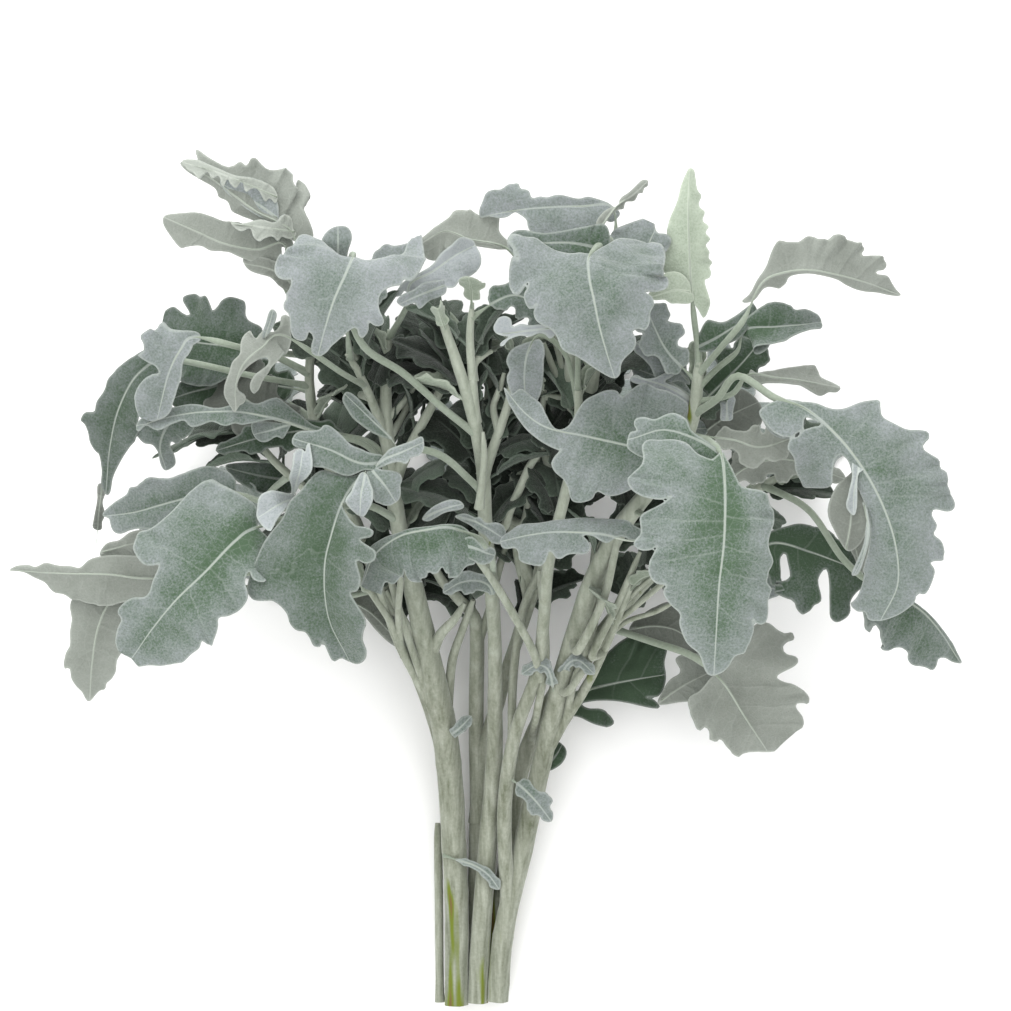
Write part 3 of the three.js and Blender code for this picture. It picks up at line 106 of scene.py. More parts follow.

# ---- leaves ----
# [name, stem, axis, y where the stalk leaves that axis, points from there to the leaf's tip, details].
# bare: the share of the length that is bare stalk. half: how far the blade reaches from the midrib.
# face: where the upper side looks, at the blade's base, with root at the stem and end at the tip where
# they differ. fold and curl: degrees by which each half rises from the midrib, and goes on rising to its
# margin. A half, fold or curl with two values has one for the left side and one for the right.
# wave, ruffle, quilt: how much the lobes, the margin and the skin between the veins rise and fall.
# cut: how deep the bays between the lobes are, at the base and at the tip. widest: where the blade is
# widest. light: how thick the felt is, and painted light and shade as well: it scales the whole colour,
# low for leaves that stand in shade and high for lit ones. green: how thin it is beside the midrib.
# margin: points x, y round the blade, in half millimetres. left, right: each side vein's foot on the
# midrib and its lean forwards.

LEAVES = [
    ["leaf_right_front", "stem_right", "main", 62, [80,64,116, 84,61,136, 86.2,57,147, 87.2,43.8,151,
     86.8,24.4,152, 84.9,6.2,150, 84.1,-12.6,143, 83.6,-27.6,135],
     {"bare": 0.4, "face": [0.1, 0.3, 1], "end": [0, -0.4, 1], "root": [0.7, 0.7, 0.2], "fold": [6, 4],
      "curl": [-36, -22], "wave": 2, "light": 0.55, "green": 1.2,
      "left": [84.5,0, 95,0.2, 103,0.4, 119,0.7], "right": [79.5,-0.3, 86,0, 91,0.2, 97,0.3], "margin":
        [113,-1, 123,-4, 139,-10, 145,-15, 149,-32, 157,-36, 167,-41, 184,-36, 191,-37, 199,-42, 208,-39,
        218,-39, 226,-44, 235,-41, 245,-42, 252,-41, 256,-36, 254,-31, 250,-28, 260,-30, 274,-25, 279,-23,
        282,-16, 290,-12, 295,-8, 299,-3, 300,2, 295,7, 280,13, 270,23, 255,29, 246,29, 240,36, 234,41,
        228,43, 224,41, 224,48, 221,53, 216,56, 209,56, 196,51, 200,55, 202,62, 200,68, 195,70, 185,65,
        174,66, 168,65, 163,58, 158,49, 152,42, 155,49, 154,59, 151,66, 144,73, 136,76, 129,71, 122,64,
        113,61, 101,60, 95,54, 97,45, 100,35, 106,25, 116,17, 122,8]}],
    ["leaf_left_front", "stem_left", "main", 32, [-54,38,80, -70,36,94, -96,29.3,105, -104.9,23.7,110,
     -116.5,11.5,114, -128,0.5,113, -137.5,-10.7,108, -144.8,-20.5,100],
     {"bare": 0.5, "face": [-0.1, 0.1, 1], "end": [-0.3, -0.3, 1], "fold": 6, "curl": [-22, -26],
      "wave": 2.2, "light": 0.52, "green": 1.1, "left": [91.5,-0.1, 99.5,0.1, 110,0.5],
      "right": [102,0.3, 123,0.8], "margin":
        [145,1, 141,13, 144,23, 150,32, 154,42, 157,52, 165,54, 183,54, 211,56, 222,61, 228,58, 233,53,
        234,39, 230,32, 226,29, 239,23, 246,20, 252,21, 259,28, 269,31, 276,30, 279,24, 288,23, 299,19,
        305,12, 310,8, 311,1, 306,-7, 297,-15, 288,-25, 278,-32, 272,-36, 263,-37, 254,-39, 247,-37,
        247,-42, 244,-46, 236,-43, 226,-39, 220,-34, 214,-38, 207,-40, 199,-40, 194,-37, 190,-30, 184,-26,
        180,-26, 183,-31, 182,-37, 177,-41, 167,-37, 145,-29, 141,-19, 142,-10]}],
    ["leaf_left_lyre", "stem_centre", "main", 42, [-12,48,88, -24,58,101, -38,60,110, -50.1,53.4,116,
     -57.5,46.3,118, -62.6,37.6,120, -66.5,25.4,121, -68.8,15.2,121, -68.9,2.5,119, -66.7,-9.4,114,
     -59.8,-23.4,107],
     {"bare": 0.44, "face": [0, 0.2, 1], "end": [0, -0.4, 1], "fold": [34, -4], "curl": [10, -24],
      "wave": 2.4, "light": 0.3, "green": 0.7, "left": [74.5,-0.4, 96.5,0, 111,0.4, 123,0.7],
      "right": [108,0.5, 146.5,0.9], "margin":
        [142,0, 154,5, 160,17, 164,29, 180,35, 187,40, 200,42, 211,47, 221,53, 229,57, 238,62, 249,65,
        256,61, 256,50, 256,42, 264,33, 270,32, 275,28, 277,22, 282,20, 289,20, 291,15, 288,11, 305,13,
        309,11, 308,5, 314,0, 317,-7, 314,-15, 305,-23, 295,-25, 286,-30, 275,-37, 262,-36, 248,-26,
        245,-33, 236,-37, 226,-34, 218,-31, 219,-41, 214,-49, 207,-48, 204,-38, 201,-29, 197,-39, 192,-40,
        190,-32, 191,-21, 186,-11, 177,0, 172,-5, 157,-6, 144,-7]}],
    ["leaf_centre_left", "stem_centre", "main", 8, [-3,15,80, -8,24,100, -19,28.9,111, -29.6,28.1,113,
     -40.3,25.3,112, -49.9,17.8,107, -54.1,8.1,99],
     {"bare": 0.53, "face": [0, 0.3, 1], "fold": [-6, -30], "curl": -30, "wave": 1.6, "light": 0.42,
      "green": 0.9, "left": [69.5,-0.4, 76,0, 82.5,0.4, 90,0.6, 109.5,0.9], "right": [61,-0.5, 95,0.6],
      "margin":
        [120,4, 135,3, 152,4, 164,5, 175,5, 187,9, 201,12, 210,4, 225,2, 240,1, 250,-1, 254,-6, 252,-12,
        243,-12, 236,-17, 227,-16, 223,-17, 221,-25, 198,-29, 185,-26, 189,-31, 189,-37, 179,-40, 159,-38,
        155,-33, 152,-36, 148,-36, 143,-32, 135,-37, 122,-39, 117,-36, 111,-27, 105,-24, 104,-19, 108,-16,
        104,-11, 106,-5, 111,1]}],
    ["leaf_centre_right", "stem_right", "main", 36, [66,29,96, 54,24,105, 39.6,26.5,108, 23.8,27.3,108,
     11.9,26.1,106, 1.6,23.7,99],
     {"bare": 0.41, "face": [0, 0.3, 1], "fold": [-4, -12], "curl": [-20, -44], "wave": 1.6, "light": 0.45,
      "green": 0.3, "left": [55.5,-0.1, 70.5,0.4, 76,0.7], "right": [55.5,-0.1, 86.5,0.9], "margin":
        [80,9, 101,19, 116,19, 133,16, 148,14, 164,11, 186,14, 194,9, 202,3, 201,-4, 196,-7, 188,-8,
        185,-12, 185,-18, 180,-22, 169,-25, 162,-22, 158,-15, 155,-17, 152,-21, 147,-21, 141,-18, 127,-17,
        123,-11, 126,-6, 130,-2, 122,-2, 116,-5, 109,-6, 104,-1, 98,2, 89,0, 80,1]}],
    ["leaf_middle", "stem_right", "main", 52, [68,56,100, 61.3,59,112, 49.3,61.7,117, 33.5,65.2,118,
     19,68.4,116, 9.9,74.4,112, 2,84,106],
     {"bare": 0.21, "face": [0, 0.1, 1], "end": [0, 0.1, 1], "fold": [-8, -2], "curl": [-30, -8], "wave": 2,
      "left": [51.5,0.2, 61.5,0.3], "right": [42,-0.1, 49.5,0.1, 81.5,0.8], "margin":
        [10,22, 26,35, 35,42, 44,47, 57,50, 69,50, 77,53, 85,50, 92,44, 98,37, 103,41, 111,40, 119,35,
        126,28, 130,19, 134,7, 140,2, 146,2, 157,9, 170,14, 184,13, 194,10, 195,2, 205,1, 194,-4, 181,-6,
        167,-9, 157,-11, 140,-15, 137,-14, 141,-21, 142,-28, 138,-34, 133,-37, 127,-44, 123,-52, 117,-56,
        109,-54, 103,-49, 101,-42, 91,-44, 81,-40, 73,-34, 62,-26, 49,-15, 17,3]}],
    ["leaf_right_low_green", "stem_right", "inner_shoot", 52, [42,60,84, 56,64,82, 70,68,79, 84,69,73],
     {"bare": 0.16, "half": 13, "face": [0, 0.3, 1], "fold": [10, 0], "curl": [-16, -20], "lobes": 3,
      "cut": [0.4, 0.2], "widest": 0.5, "wave": 1.5}],
    ["leaf_right_outer", "stem_right", "main", 74, [86,80,106, 94,89,114, 108.4,80.1,119, 120,76.1,122,
     132.8,65.1,124, 142.7,52.5,124, 150.7,38,122, 156.1,22.2,118, 157.4,6.4,112, 151.7,-7.3,104],
     {"bare": 0.36, "face": [0.1, 0.2, 1], "end": [0.3, -0.3, 1], "fold": [4, -34], "curl": [-22, -40],
      "wave": 2.2, "left": [81.5,-0.2, 93,0.1, 101,0.3, 106.5,0.4, 115.5,0.5, 121.5,0.7],
      "right": [60,-0.5, 86.5,-0.1, 128.5,0.7, 149,0.9], "margin":
        [114,-3, 124,-8, 135,-12, 143,-20, 148,-32, 152,-40, 156,-45, 160,-41, 166,-38, 180,-46, 186,-55,
        191,-62, 195,-60, 196,-53, 199,-50, 211,-59, 216,-57, 221,-61, 231,-56, 237,-57, 242,-56, 244,-49,
        239,-38, 243,-35, 250,-37, 255,-33, 261,-38, 268,-40, 274,-38, 273,-26, 280,-30, 293,-26, 294,-18,
        300,-18, 307,-14, 317,-8, 324,-1, 328,10, 324,15, 327,22, 325,30, 318,27, 306,28, 280,31, 260,25,
        243,20, 227,15, 213,14, 199,13, 187,11, 175,7, 167,9, 168,17, 177,26, 186,36, 180,51, 169,64,
        152,49, 141,38, 130,35, 126,28, 128,19, 134,9, 139,2, 125,6, 129,14, 130,22, 123,27, 107,29, 97,25,
        89,19, 90,13, 97,4, 105,-1]}],
    ["leaf_right_tip", "stem_right_back", "main", 46, [124,36,80, 138,16,84, 152.4,3.9,85, 162.8,-0.2,81,
     171.1,-5.9,77, 178.5,-14.1,71, 186.7,-25.7,62],
     {"bare": 0.55, "face": [0.2, 0.1, 1], "fold": [-30, 0], "curl": [-30, -14], "wave": 1.4, "light": 0.4,
      "green": 0.9, "left": [110,0.8, 120,0.9], "right": [75.5,-0.3, 81.5,0, 92.5,0.6], "margin":
        [128,4, 140,-1, 154,-2, 169,-4, 183,-4, 198,-5, 212,-5, 228,-5, 242,-2, 235,5, 226,9, 221,14,
        225,19, 226,24, 220,27, 208,35, 197,33, 185,33, 177,37, 173,42, 159,43, 146,37, 144,30, 141,27,
        140,35, 137,32, 135,26, 129,18, 126,11]}],
    ["leaf_right_fingers", "stem_right_back", "main", 20, [84,18,62, 98,17,71, 110.8,22.7,75, 124.9,19.1,76,
     136.3,15,74, 148,10.1,69],
     {"bare": 0.47, "face": [0, 0.2, 1], "curl": [-20, -12], "wave": 1.2, "light": 0.12, "green": 1,
      "left": [62,0.3, 72,0.4], "right": [50.5,-0.4, 59.5,0.4], "margin":
        [88,-10, 97,-10, 105,-14, 114,-20, 127,-22, 140,-22, 150,-18, 163,-14, 176,-10, 186,-4, 184,8,
        179,16, 175,26, 177,34, 176,40, 170,46, 163,44, 157,32, 152,20, 147,10, 144,10, 142,20, 150,34,
        146,40, 145,44, 140,50, 132,48, 127,42, 122,42, 87,38, 119,28, 113,12, 109,8, 106,14, 111,30, 82,32,
        81,24, 83,10, 84,0]}],
    ["leaf_right_underside", "stem_right_back", "main", -12, [62,-18,40, 79,-24,47, 90.7,-34.4,48,
     100.2,-49.2,46, 109.2,-62.7,38],
     {"bare": 0.58, "face": [-0.1, -0.2, -1], "fold": 6, "curl": -16, "wave": 2,
      "left": [48,-0.8, 52,0, 57,0.7, 68,0.8, 78,0.9], "right": [48,-0.8, 52,0.1, 58,0.7, 68,0.8, 78,0.9],
      "margin":
        [103,-3, 105,-18, 103,-28, 107,-34, 120,-38, 130,-40, 136,-38, 136,-32, 141,-31, 145,-35, 148,-31,
        149,-27, 163,-26, 172,-22, 174,-14, 185,-1, 192,7, 197,14, 200,21, 199,27, 193,30, 192,35, 186,41,
        171,42, 172,47, 177,52, 172,56, 162,54, 149,49, 137,42, 132,42, 133,57, 131,63, 127,63, 123,58,
        119,58, 118,65, 119,71, 116,74, 114,68, 110,65, 102,62, 96,53, 100,32, 104,13]}],
    ["leaf_right_small_dark", "stem_right_back", "low_shoot", -42, [36.4,-38.7,20, 46.3,-36.1,23, 57,-34,25,
     67.8,-32.3,24],
     {"bare": 0.3, "fold": 6, "curl": -10, "wave": 1, "light": 0, "green": 1, "left": [20.5,0.7, 30.5,0.8],
      "right": [20,-0.4, 25.5,0.8], "margin":
        [0,5, -7,9, -8,16, 3,21, 13,29, 23,34, 31,32, 28,24, 22,18, 12,15, 8,10, 23,11, 39,15, 54,21, 68,26,
        74,26, 70,19, 64,16, 73,17, 79,11, 83,1, 83,-10, 87,-22, 83,-32, 68,-38, 52,-34, 40,-27, 28,-21,
        19,-12, 10,-4]}],
    ["leaf_right_top", "stem_right", "main", 90, [88,101,114, 96,111,121, 102.8,124.7,127, 111.7,128.9,130,
     122.2,129.6,131, 133.4,127.8,127, 144.8,125,121, 156.4,121.3,114],
     {"bare": 0.37, "face": [0, -0.3, -1], "fold": [44, -6], "curl": [10, -10], "wave": 1.6, "light": 0.42,
      "green": 0.2, "left": [56,-0.1, 89,0.7],
      "right": [41,-0.5, 61,0, 67.5,0.2, 73.5,0.4, 80.5,0.6, 89,0.8, 99,0.9], "margin":
        [78,8, 90,4, 106,8, 115,21, 121,25, 124,23, 130,23, 138,28, 142,28, 145,26, 152,27, 155,31, 164,31,
        174,29, 179,30, 183,27, 181,20, 196,25, 202,23, 204,18, 202,14, 197,12, 198,10, 207,11, 214,8,
        219,4, 223,-1, 206,-4, 195,-7, 183,-8, 173,-7, 165,-4, 157,-3, 146,-3, 135,-3, 122,-4, 117,-9,
        108,-11, 98,-4, 84,-1]}],
    ["leaf_right_top_green", "stem_right", "main", 84, [86,92,104, 94,99,110, 96.9,107.2,111,
     108.8,108.4,112, 118.8,109.3,109, 126.3,110.3,103],
     {"bare": 0.45, "face": [0, 0.2, 1], "fold": [14, 20], "curl": [-10, 30], "wave": 1.2, "light": 0.35,
      "green": 1, "left": [42.5,0.2, 52.5,0.3], "right": [35.5,-0.4, 45.5,-0.3], "margin":
        [64,-9, 67,-7, 80,-17, 88,-20, 104,-17, 108,-13, 119,-12, 128,-9, 133,-6, 135,-1, 130,6, 119,6,
        109,8, 100,12, 92,17, 62,24, 55,14, 59,6, 61,-4]}],
    ["leaf_right_narrow", "stem_right", "main", 79, [92,82,101, 98.5,89.6,104, 109.2,88.4,105,
     119.3,87.3,102, 134.9,84.7,94],
     {"bare": 0.42, "face": [0, -0.2, -1], "fold": [4, 20], "curl": [-10, 0], "wave": 1,
      "left": [31.5,-0.3, 53,0.7], "right": [49,0.6, 59,0.7], "margin":
        [53,4, 58,1, 66,5, 77,9, 92,13, 102,16, 110,17, 114,12, 115,7, 129,3, 132,0, 128,-4, 121,-5, 113,-9,
        96,-4, 88,-4, 75,-4, 66,-6, 60,-10, 52,-6]}],
    ["leaf_upright_young", "stem_right", "main", 93, [78.6,99.5,106, 76.8,112,111, 75.4,124.8,115,
     74.5,140.4,119, 74.1,156.1,120, 75,170.5,117],
     {"bare": 0.39, "face": [0, 0.2, -1], "fold": 14, "curl": 10, "wave": 2.4, "light": 0.36, "green": 0.1,
      "young": True, "left": [30,-0.5, 42.5,-0.1, 50,0.2, 66.5,0.7], "right": [38,-0.4, 52.5,0.3], "margin":
        [60,3, 65,4, 67,20, 71,21, 74,12, 75,5, 77,11, 78,23, 84,24, 90,23, 97,17, 105,15, 110,18, 121,15,
        134,9, 149,6, 160,2, 162,-1, 159,-4, 145,-7, 141,-11, 134,-9, 130,-10, 126,-14, 119,-12, 114,-17,
        109,-14, 104,-18, 99,-14, 93,-17, 88,-16, 83,-19, 80,-16, 76,-17, 72,-15, 70,-11, 55,-14, 48,-13,
        40,-8, 48,-4]}],
    ["leaf_top_front", "stem_centre_back", "main", 122, [42,136,112, 43,142,126, 35.1,135.6,143,
     34.5,127.1,151, 36.4,117.2,154, 38.4,107.6,153, 41.1,98,150, 44.4,88.2,143],
     {"bare": 0.5, "root": [0, 0.4, -1], "face": [0, 0.35, 1], "end": [0, -0.2, 1], "curl": -26,
      "wave": 2.4, "light": 0.44, "green": 0.12, "quilt": 0.75,
      "left": [48,-0.7, 52,-0.1, 58,0.5, 72,0.7, 86,0.8],
      "right": [48,-0.8, 53,-0.2, 60,0.4, 74,0.7, 88,0.8], "margin":
        [100,-1, 88,-9, 76,-18, 67,-31, 67,-44, 72,-52, 83,-57, 123,-59, 141,-63, 149,-60, 151,-51, 149,-41,
        155,-46, 164,-46, 169,-42, 178,-39, 183,-34, 180,-29, 181,-24, 188,-25, 196,-22, 205,-9, 214,-5,
        217,0, 210,7, 202,13, 195,18, 187,24, 183,29, 178,33, 171,34, 165,37, 157,47, 146,48, 141,44,
        143,50, 138,53, 133,53, 130,49, 127,48, 132,56, 131,61, 127,63, 120,62, 115,59, 115,54, 110,65,
        108,63, 105,54, 101,45, 103,36, 105,24, 108,11]}],
    ["leaf_top_back", "stem_centre_back", "main", 97, [46,128,97, 46,143,103, 44.4,156.1,107,
     31.7,156.4,109, 19,156,109, 6,154.9,107, -5.6,152.9,101],
     {"bare": 0.51, "face": [0, 0.3, 1], "fold": [-10, 24], "curl": [-20, 0], "wave": 2.2, "light": 0.46,
      "green": 0.05, "left": [87.5,0.5, 105,0.8], "right": [60.5,-0.4, 83,0.2, 93,0.7], "margin":
        [118,4, 126,1, 137,4, 145,7, 154,6, 169,9, 177,8, 183,9, 189,8, 191,14, 197,17, 199,22, 204,22,
        211,18, 218,19, 225,18, 230,13, 236,1, 227,-1, 218,-4, 211,-4, 205,-1, 200,-4, 195,-9, 194,-16,
        188,-22, 177,-21, 160,-20, 146,-18, 114,-7]}],
    ["leaf_top_right", "stem_centre_back", "main", 114, [49.5,123.1,110, 55.2,133.8,117, 60.7,145.5,119],
     {"bare": 0.62, "face": [0, 0.2, 1], "fold": [8, 0], "curl": [-14, -20], "wave": 1.6, "light": 0.45,
      "green": 0.2, "left": [34,-0.5, 44,-0.3], "right": [34.5,0.9, 44.5,1], "margin":
        [51,-32, 64,-31, 73,-30, 78,-27, 90,-15, 95,-9, 96,-5, 90,-1, 87,3, 89,9, 87,15, 80,16, 63,12, 53,4,
        50,-12]}],
    ["leaf_top_crinkled", "stem_centre_back", "main", 108, [33,123,111, 34,137,117, 44.5,154.1,121,
     52,160,121, 57.9,165.2,119],
     {"bare": 0.65, "face": [0, 0.3, -1], "fold": 10, "curl": [0, 20], "wave": 2.2, "light": 0.42,
      "ruffle": 1.6, "quilt": 0.8, "left": [61,0.3, 71,0.4], "right": [53.5,-0.3, 70,0.8], "margin":
        [100,5, 110,5, 117,2, 121,-1, 127,3, 144,4, 151,3, 153,0, 150,-3, 146,-2, 142,-4, 139,-2, 134,-5,
        128,-2, 123,-6, 116,-2, 105,-1, 95,-1]}],
    ["leaf_top_left_pale", "stem_centre_back", "main", 90, [26,112,92, 11.2,130.8,98, 2,140.3,99,
     -11.9,143.6,97, -22,147.1,92, -32.1,142.2,86],
     {"bare": 0.62, "face": [0, -0.3, -1], "fold": [-8, 20], "curl": [-10, 0], "wave": 1.8,
      "left": [73,-0.2, 79.5,0.3], "right": [89.5,0.8, 99.5,0.9], "margin":
        [122,-4, 134,-10, 137,-24, 139,-30, 144,-28, 150,-22, 160,-22, 168,-22, 175,-18, 177,-12, 181,-8,
        187,-6, 197,-4, 205,-4, 207,0, 206,10, 202,16, 194,18, 169,12, 164,4, 158,2, 150,4, 138,4, 128,2]}],
    ["leaf_small_bright", "stem_right", "inner_shoot", 84, [29.7,111.1,112, 19.7,107.8,118, 9.9,106.5,119,
     0,105.5,116],
     {"bare": 0.69, "face": [0, 0.2, 1], "fold": 6, "curl": 10, "wave": 1.6, "light": 0.78, "green": 0,
      "left": [46,-0.4, 51,0.1, 57,0.9], "right": [55,0.9, 65,1], "margin":
        [83,-6, 84,-2, 89,2, 94,4, 102,4, 109,6, 116,5, 117,11, 122,14, 126,13, 131,7, 131,2, 127,-1,
        120,-3, 124,-6, 127,-10, 123,-11, 120,-6, 116,-4, 110,-3, 103,-5, 96,-3, 91,-4, 88,-8]}],
    ["leaf_hanging_pale", "stem_right", "inner_shoot", 78, [26,98,101, 15.9,105.5,104, 11.1,98.8,103,
     9.6,89.3,100, 10.4,79.1,94],
     {"bare": 0.61, "root": [0, 0.6, -0.6], "face": [0, 0.3, 1], "end": [0, 0, 1], "fold": 10, "curl": -10,
      "wave": 1, "green": 0.1, "left": [49.5,0.2, 59.5,0.3], "right": [47,0, 57,0.1], "margin":
        [73,-5, 79,3, 85,10, 90,14, 96,15, 102,12, 109,14, 125,9, 133,2, 133,-6, 126,-11, 112,-15, 94,-15,
        79,-12]}],
    ["leaf_top_left_front", "stem_centre", "main", 66, [-22,76,98, -38,90,108, -54,101,116, -60,119,122,
     -58,134,132, -57,134.7,145, -59.9,127,152, -64.2,117.3,152, -67.8,106.7,147, -70.9,96.5,138],
     {"bare": 0.71, "root": [-0.3, 0.6, -0.6], "face": [0, 0.35, 1], "end": [0, -0.2, 1], "curl": -26,
      "wave": 2.6, "green": 0.05, "quilt": 0.75, "left": [111,-0.7, 116,0, 122,0.6, 135,0.7, 148,0.8],
      "right": [110,-0.9, 116,-0.2, 122,0.4, 136,0.6, 149,0.8], "margin":
        [228,-1, 233,-10, 233,-19, 225,-28, 216,-35, 198,-37, 185,-40, 190,-47, 211,-54, 218,-55, 236,-50,
        239,-43, 243,-43, 253,-32, 260,-32, 267,-36, 274,-42, 283,-42, 284,-35, 281,-31, 292,-33, 299,-31,
        298,-27, 291,-22, 303,-14, 313,-9, 323,-6, 329,-1, 327,5, 319,7, 310,7, 305,11, 313,12, 316,17,
        314,23, 300,30, 299,35, 293,37, 287,36, 285,38, 279,36, 273,37, 275,43, 275,50, 272,55, 264,56,
        247,53, 238,51, 219,50, 206,45, 206,37, 214,28, 227,18, 233,9]}],
    ["leaf_top_left_lobe", "stem_left", "left_shoot", 96, [-60,110,106, -53,124,112, -43,134,116,
     -31,141,115],
     {"bare": 0.24, "half": [8, 9], "face": [0, 0.1, 1], "fold": 10, "curl": -10, "lobes": 3,
      "cut": [0.3, 0.2], "widest": 0.5, "wave": 1.2}],
    ["leaf_top_left_light", "stem_left", "main", 105, [-37,117,104, -35.6,125.6,108, -26.9,130.2,111,
     -17.8,136.6,110, -10.3,140.8,105],
     {"bare": 0.43, "face": [0.1, 0, 1], "fold": 8, "curl": [-10, -14], "wave": 1.4, "light": 0.7,
      "green": 0, "left": [27,-0.5, 51.5,0.8], "right": [34.5,-0.1, 41,0.3, 47,0.8], "margin":
        [62,-3, 73,-4, 85,-5, 94,-8, 104,-9, 112,-11, 121,-7, 125,-1, 120,15, 109,20, 95,18, 88,20, 84,18,
        80,12, 79,8, 74,8, 68,12, 49,8, 50,2, 53,-3, 49,-6, 49,-11]}],
    ["leaf_top_grey_behind", "stem_centre", "bud_shoot", 112, [-1,119,108, 7,121,108, 16,116,105, 22,106,99],
     {"half": [10, 9], "face": [0.1, 0.2, 1], "fold": 8, "curl": [-10, -14], "lobes": 3, "cut": [0.36, 0.2],
      "widest": 0.5, "wave": 1.4, "light": 0.3}],
    ["leaf_far_left_crinkled", "stem_left_back", "main", 111, [-76,130,97, -82,145,105, -87.1,149.3,109,
     -95.7,153.5,111, -104.8,160.2,111, -114.9,167.6,108, -126.3,173,104],
     {"bare": 0.4, "face": [0.2, -0.3, -1], "fold": [4, 40], "curl": [0, 40], "wave": 2.8, "ruffle": 1.4,
      "quilt": 0.8, "left": [52,-0.2, 66.5,0.5, 87,0.9], "right": [66.5,0.3, 76.5,0.4], "margin":
        [73,-12, 89,-18, 91,-25, 91,-33, 93,-42, 94,-42, 96,-39, 94,-34, 101,-33, 104,-37, 106,-43, 121,-43,
        134,-34, 140,-33, 148,-34, 151,-31, 151,-25, 158,-25, 160,-20, 164,-15, 175,-14, 189,-17, 189,-14,
        184,-8, 189,-4, 196,-1, 190,3, 180,5, 171,6, 160,6, 155,12, 146,9, 139,18, 130,14, 120,9, 112,9,
        99,8, 81,3]}],
    ["leaf_far_left_smooth", "stem_left_back", "main", 101, [-80,117,88, -86,126,95, -85.6,141.9,99,
     -96.3,139.5,100, -109.5,141.9,99, -120.8,146.9,96, -132.8,152.4,90],
     {"bare": 0.4, "face": [0.2, -0.2, -1], "fold": [6, 20], "curl": [-10, 0], "wave": 1.2,
      "left": [61,0.1, 71,0.2], "right": [45,-0.5, 83.5,0.8], "margin":
        [98,-7, 109,-19, 140,-20, 158,-17, 169,-16, 182,-14, 195,-8, 203,-3, 205,3, 200,9, 184,17, 177,15,
        166,9, 156,9, 146,6, 134,7, 79,23, 100,16, 91,-5]}],
    ["leaf_left_hanging", "stem_left_back", "main", 86, [-100,90,84, -131.4,96.1,87, -144.2,91.3,87,
     -152.6,78.2,82, -157.2,62.2,75, -159.5,44.1,67],
     {"bare": 0.49, "face": [-0.3, 0.1, 1], "fold": [6, 8], "curl": -10, "wave": 2, "light": 0.12,
      "green": 0.2, "left": [92.5,0.3, 102.5,0.4], "right": [82,0, 93.5,0.4], "margin":
        [121,6, 130,12, 147,15, 156,17, 165,18, 174,17, 183,19, 191,19, 194,26, 201,27, 209,21, 217,17,
        222,12, 224,8, 237,5, 250,4, 258,0, 254,-4, 242,-5, 230,-9, 216,-15, 202,-21, 189,-22, 171,-19,
        158,-15, 143,-12, 123,-10]}],
    ["leaf_left_light", "stem_left_back", "main", 98, [-100,100,102, -120.4,104.5,109, -126.6,99.3,110,
     -131.7,89.6,105, -136.3,73.9,97],
     {"bare": 0.59, "face": [-0.2, 0.2, 1], "fold": [10, 16], "curl": [-20, -10], "wave": 2, "light": 0.42,
      "green": 0, "left": [83.5,0.8, 93.5,0.9], "right": [68,0, 80.5,0.8], "margin":
        [109,3, 118,7, 121,16, 121,26, 126,26, 136,32, 140,27, 145,25, 149,28, 151,19, 151,11, 155,7,
        158,12, 165,18, 175,22, 184,22, 193,18, 200,12, 197,2, 189,-7, 179,-11, 166,-11, 151,-11, 136,-8,
        126,-8, 110,-4]}],
    ["leaf_left_round_lobes", "stem_left_back", "main", 91, [-93,99,79, -104,101,79, -112.7,102.4,78,
     -123,103.7,75, -134.4,106.4,68],
     {"bare": 0.39, "face": [0, 0.1, 1], "fold": [0, 10], "curl": [-10, -14], "wave": 1.4, "light": 0.12,
      "green": 0.3, "left": [39,0.4, 49,0.5], "right": [36,0, 52,0.9], "margin":
        [44,17, 53,22, 60,26, 62,35, 65,39, 75,40, 80,36, 82,31, 86,27, 89,32, 95,38, 104,37, 113,39,
        119,36, 120,31, 111,21, 118,21, 126,24, 133,20, 137,14, 135,3, 149,-4, 143,-13, 135,-22, 113,-28,
        97,-35, 76,-32, 58,-17, 46,0]}],
    ["leaf_left_shaded", "stem_left_back", "main", 64, [-87.6,73.4,75, -100.4,79.2,76, -110,88,72,
     -117.6,99.2,63],
     {"half": 15, "face": [0, 0, -1], "fold": 10, "curl": -20, "cut": [0.4, 0.2], "widest": 0.5,
      "wave": 1.6, "light": 0.05, "green": 0.4}],
    ["leaf_left_strap", "stem_left", "left_shoot", 86, [-62,90,103, -85.5,104.9,110, -94,100,113,
     -101.1,93.7,114, -104.5,85.1,110, -104.9,76.5,103],
     {"bare": 0.49, "face": [0, -0.2, -1], "fold": 6, "curl": 10, "wave": 1.4, "light": 0.45, "green": 0.2,
      "left": [48,-0.4, 55.5,0, 74.5,0.8], "right": [59,0.2, 78,0.9], "margin":
        [81,3, 85,-6, 88,-16, 91,-16, 92,-7, 96,-3, 100,-9, 107,-10, 103,-18, 113,-19, 120,-15, 126,-8,
        133,-9, 141,-8, 151,-9, 160,-9, 168,-6, 175,-1, 169,3, 167,7, 161,8, 155,3, 148,1, 139,2, 129,4,
        113,7, 113,12, 123,13, 139,11, 148,11, 158,15, 146,19, 122,19, 110,16, 83,15]}],
    ["leaf_left_level", "stem_left", "main", 50, [-54,62,84, -72.8,67.2,90, -87.7,71.9,96, -103.5,75,99,
     -123.5,74.6,98, -142.7,70.4,91],
     {"bare": 0.35, "face": [0, 0.5, 1], "fold": [-8, 6], "curl": [-26, -10], "wave": 1.8, "light": 0.4,
      "green": 0.6, "left": [78,0.3, 90.5,0.6, 104.5,0.9], "right": [60.5,-0.1, 107,0.9], "margin":
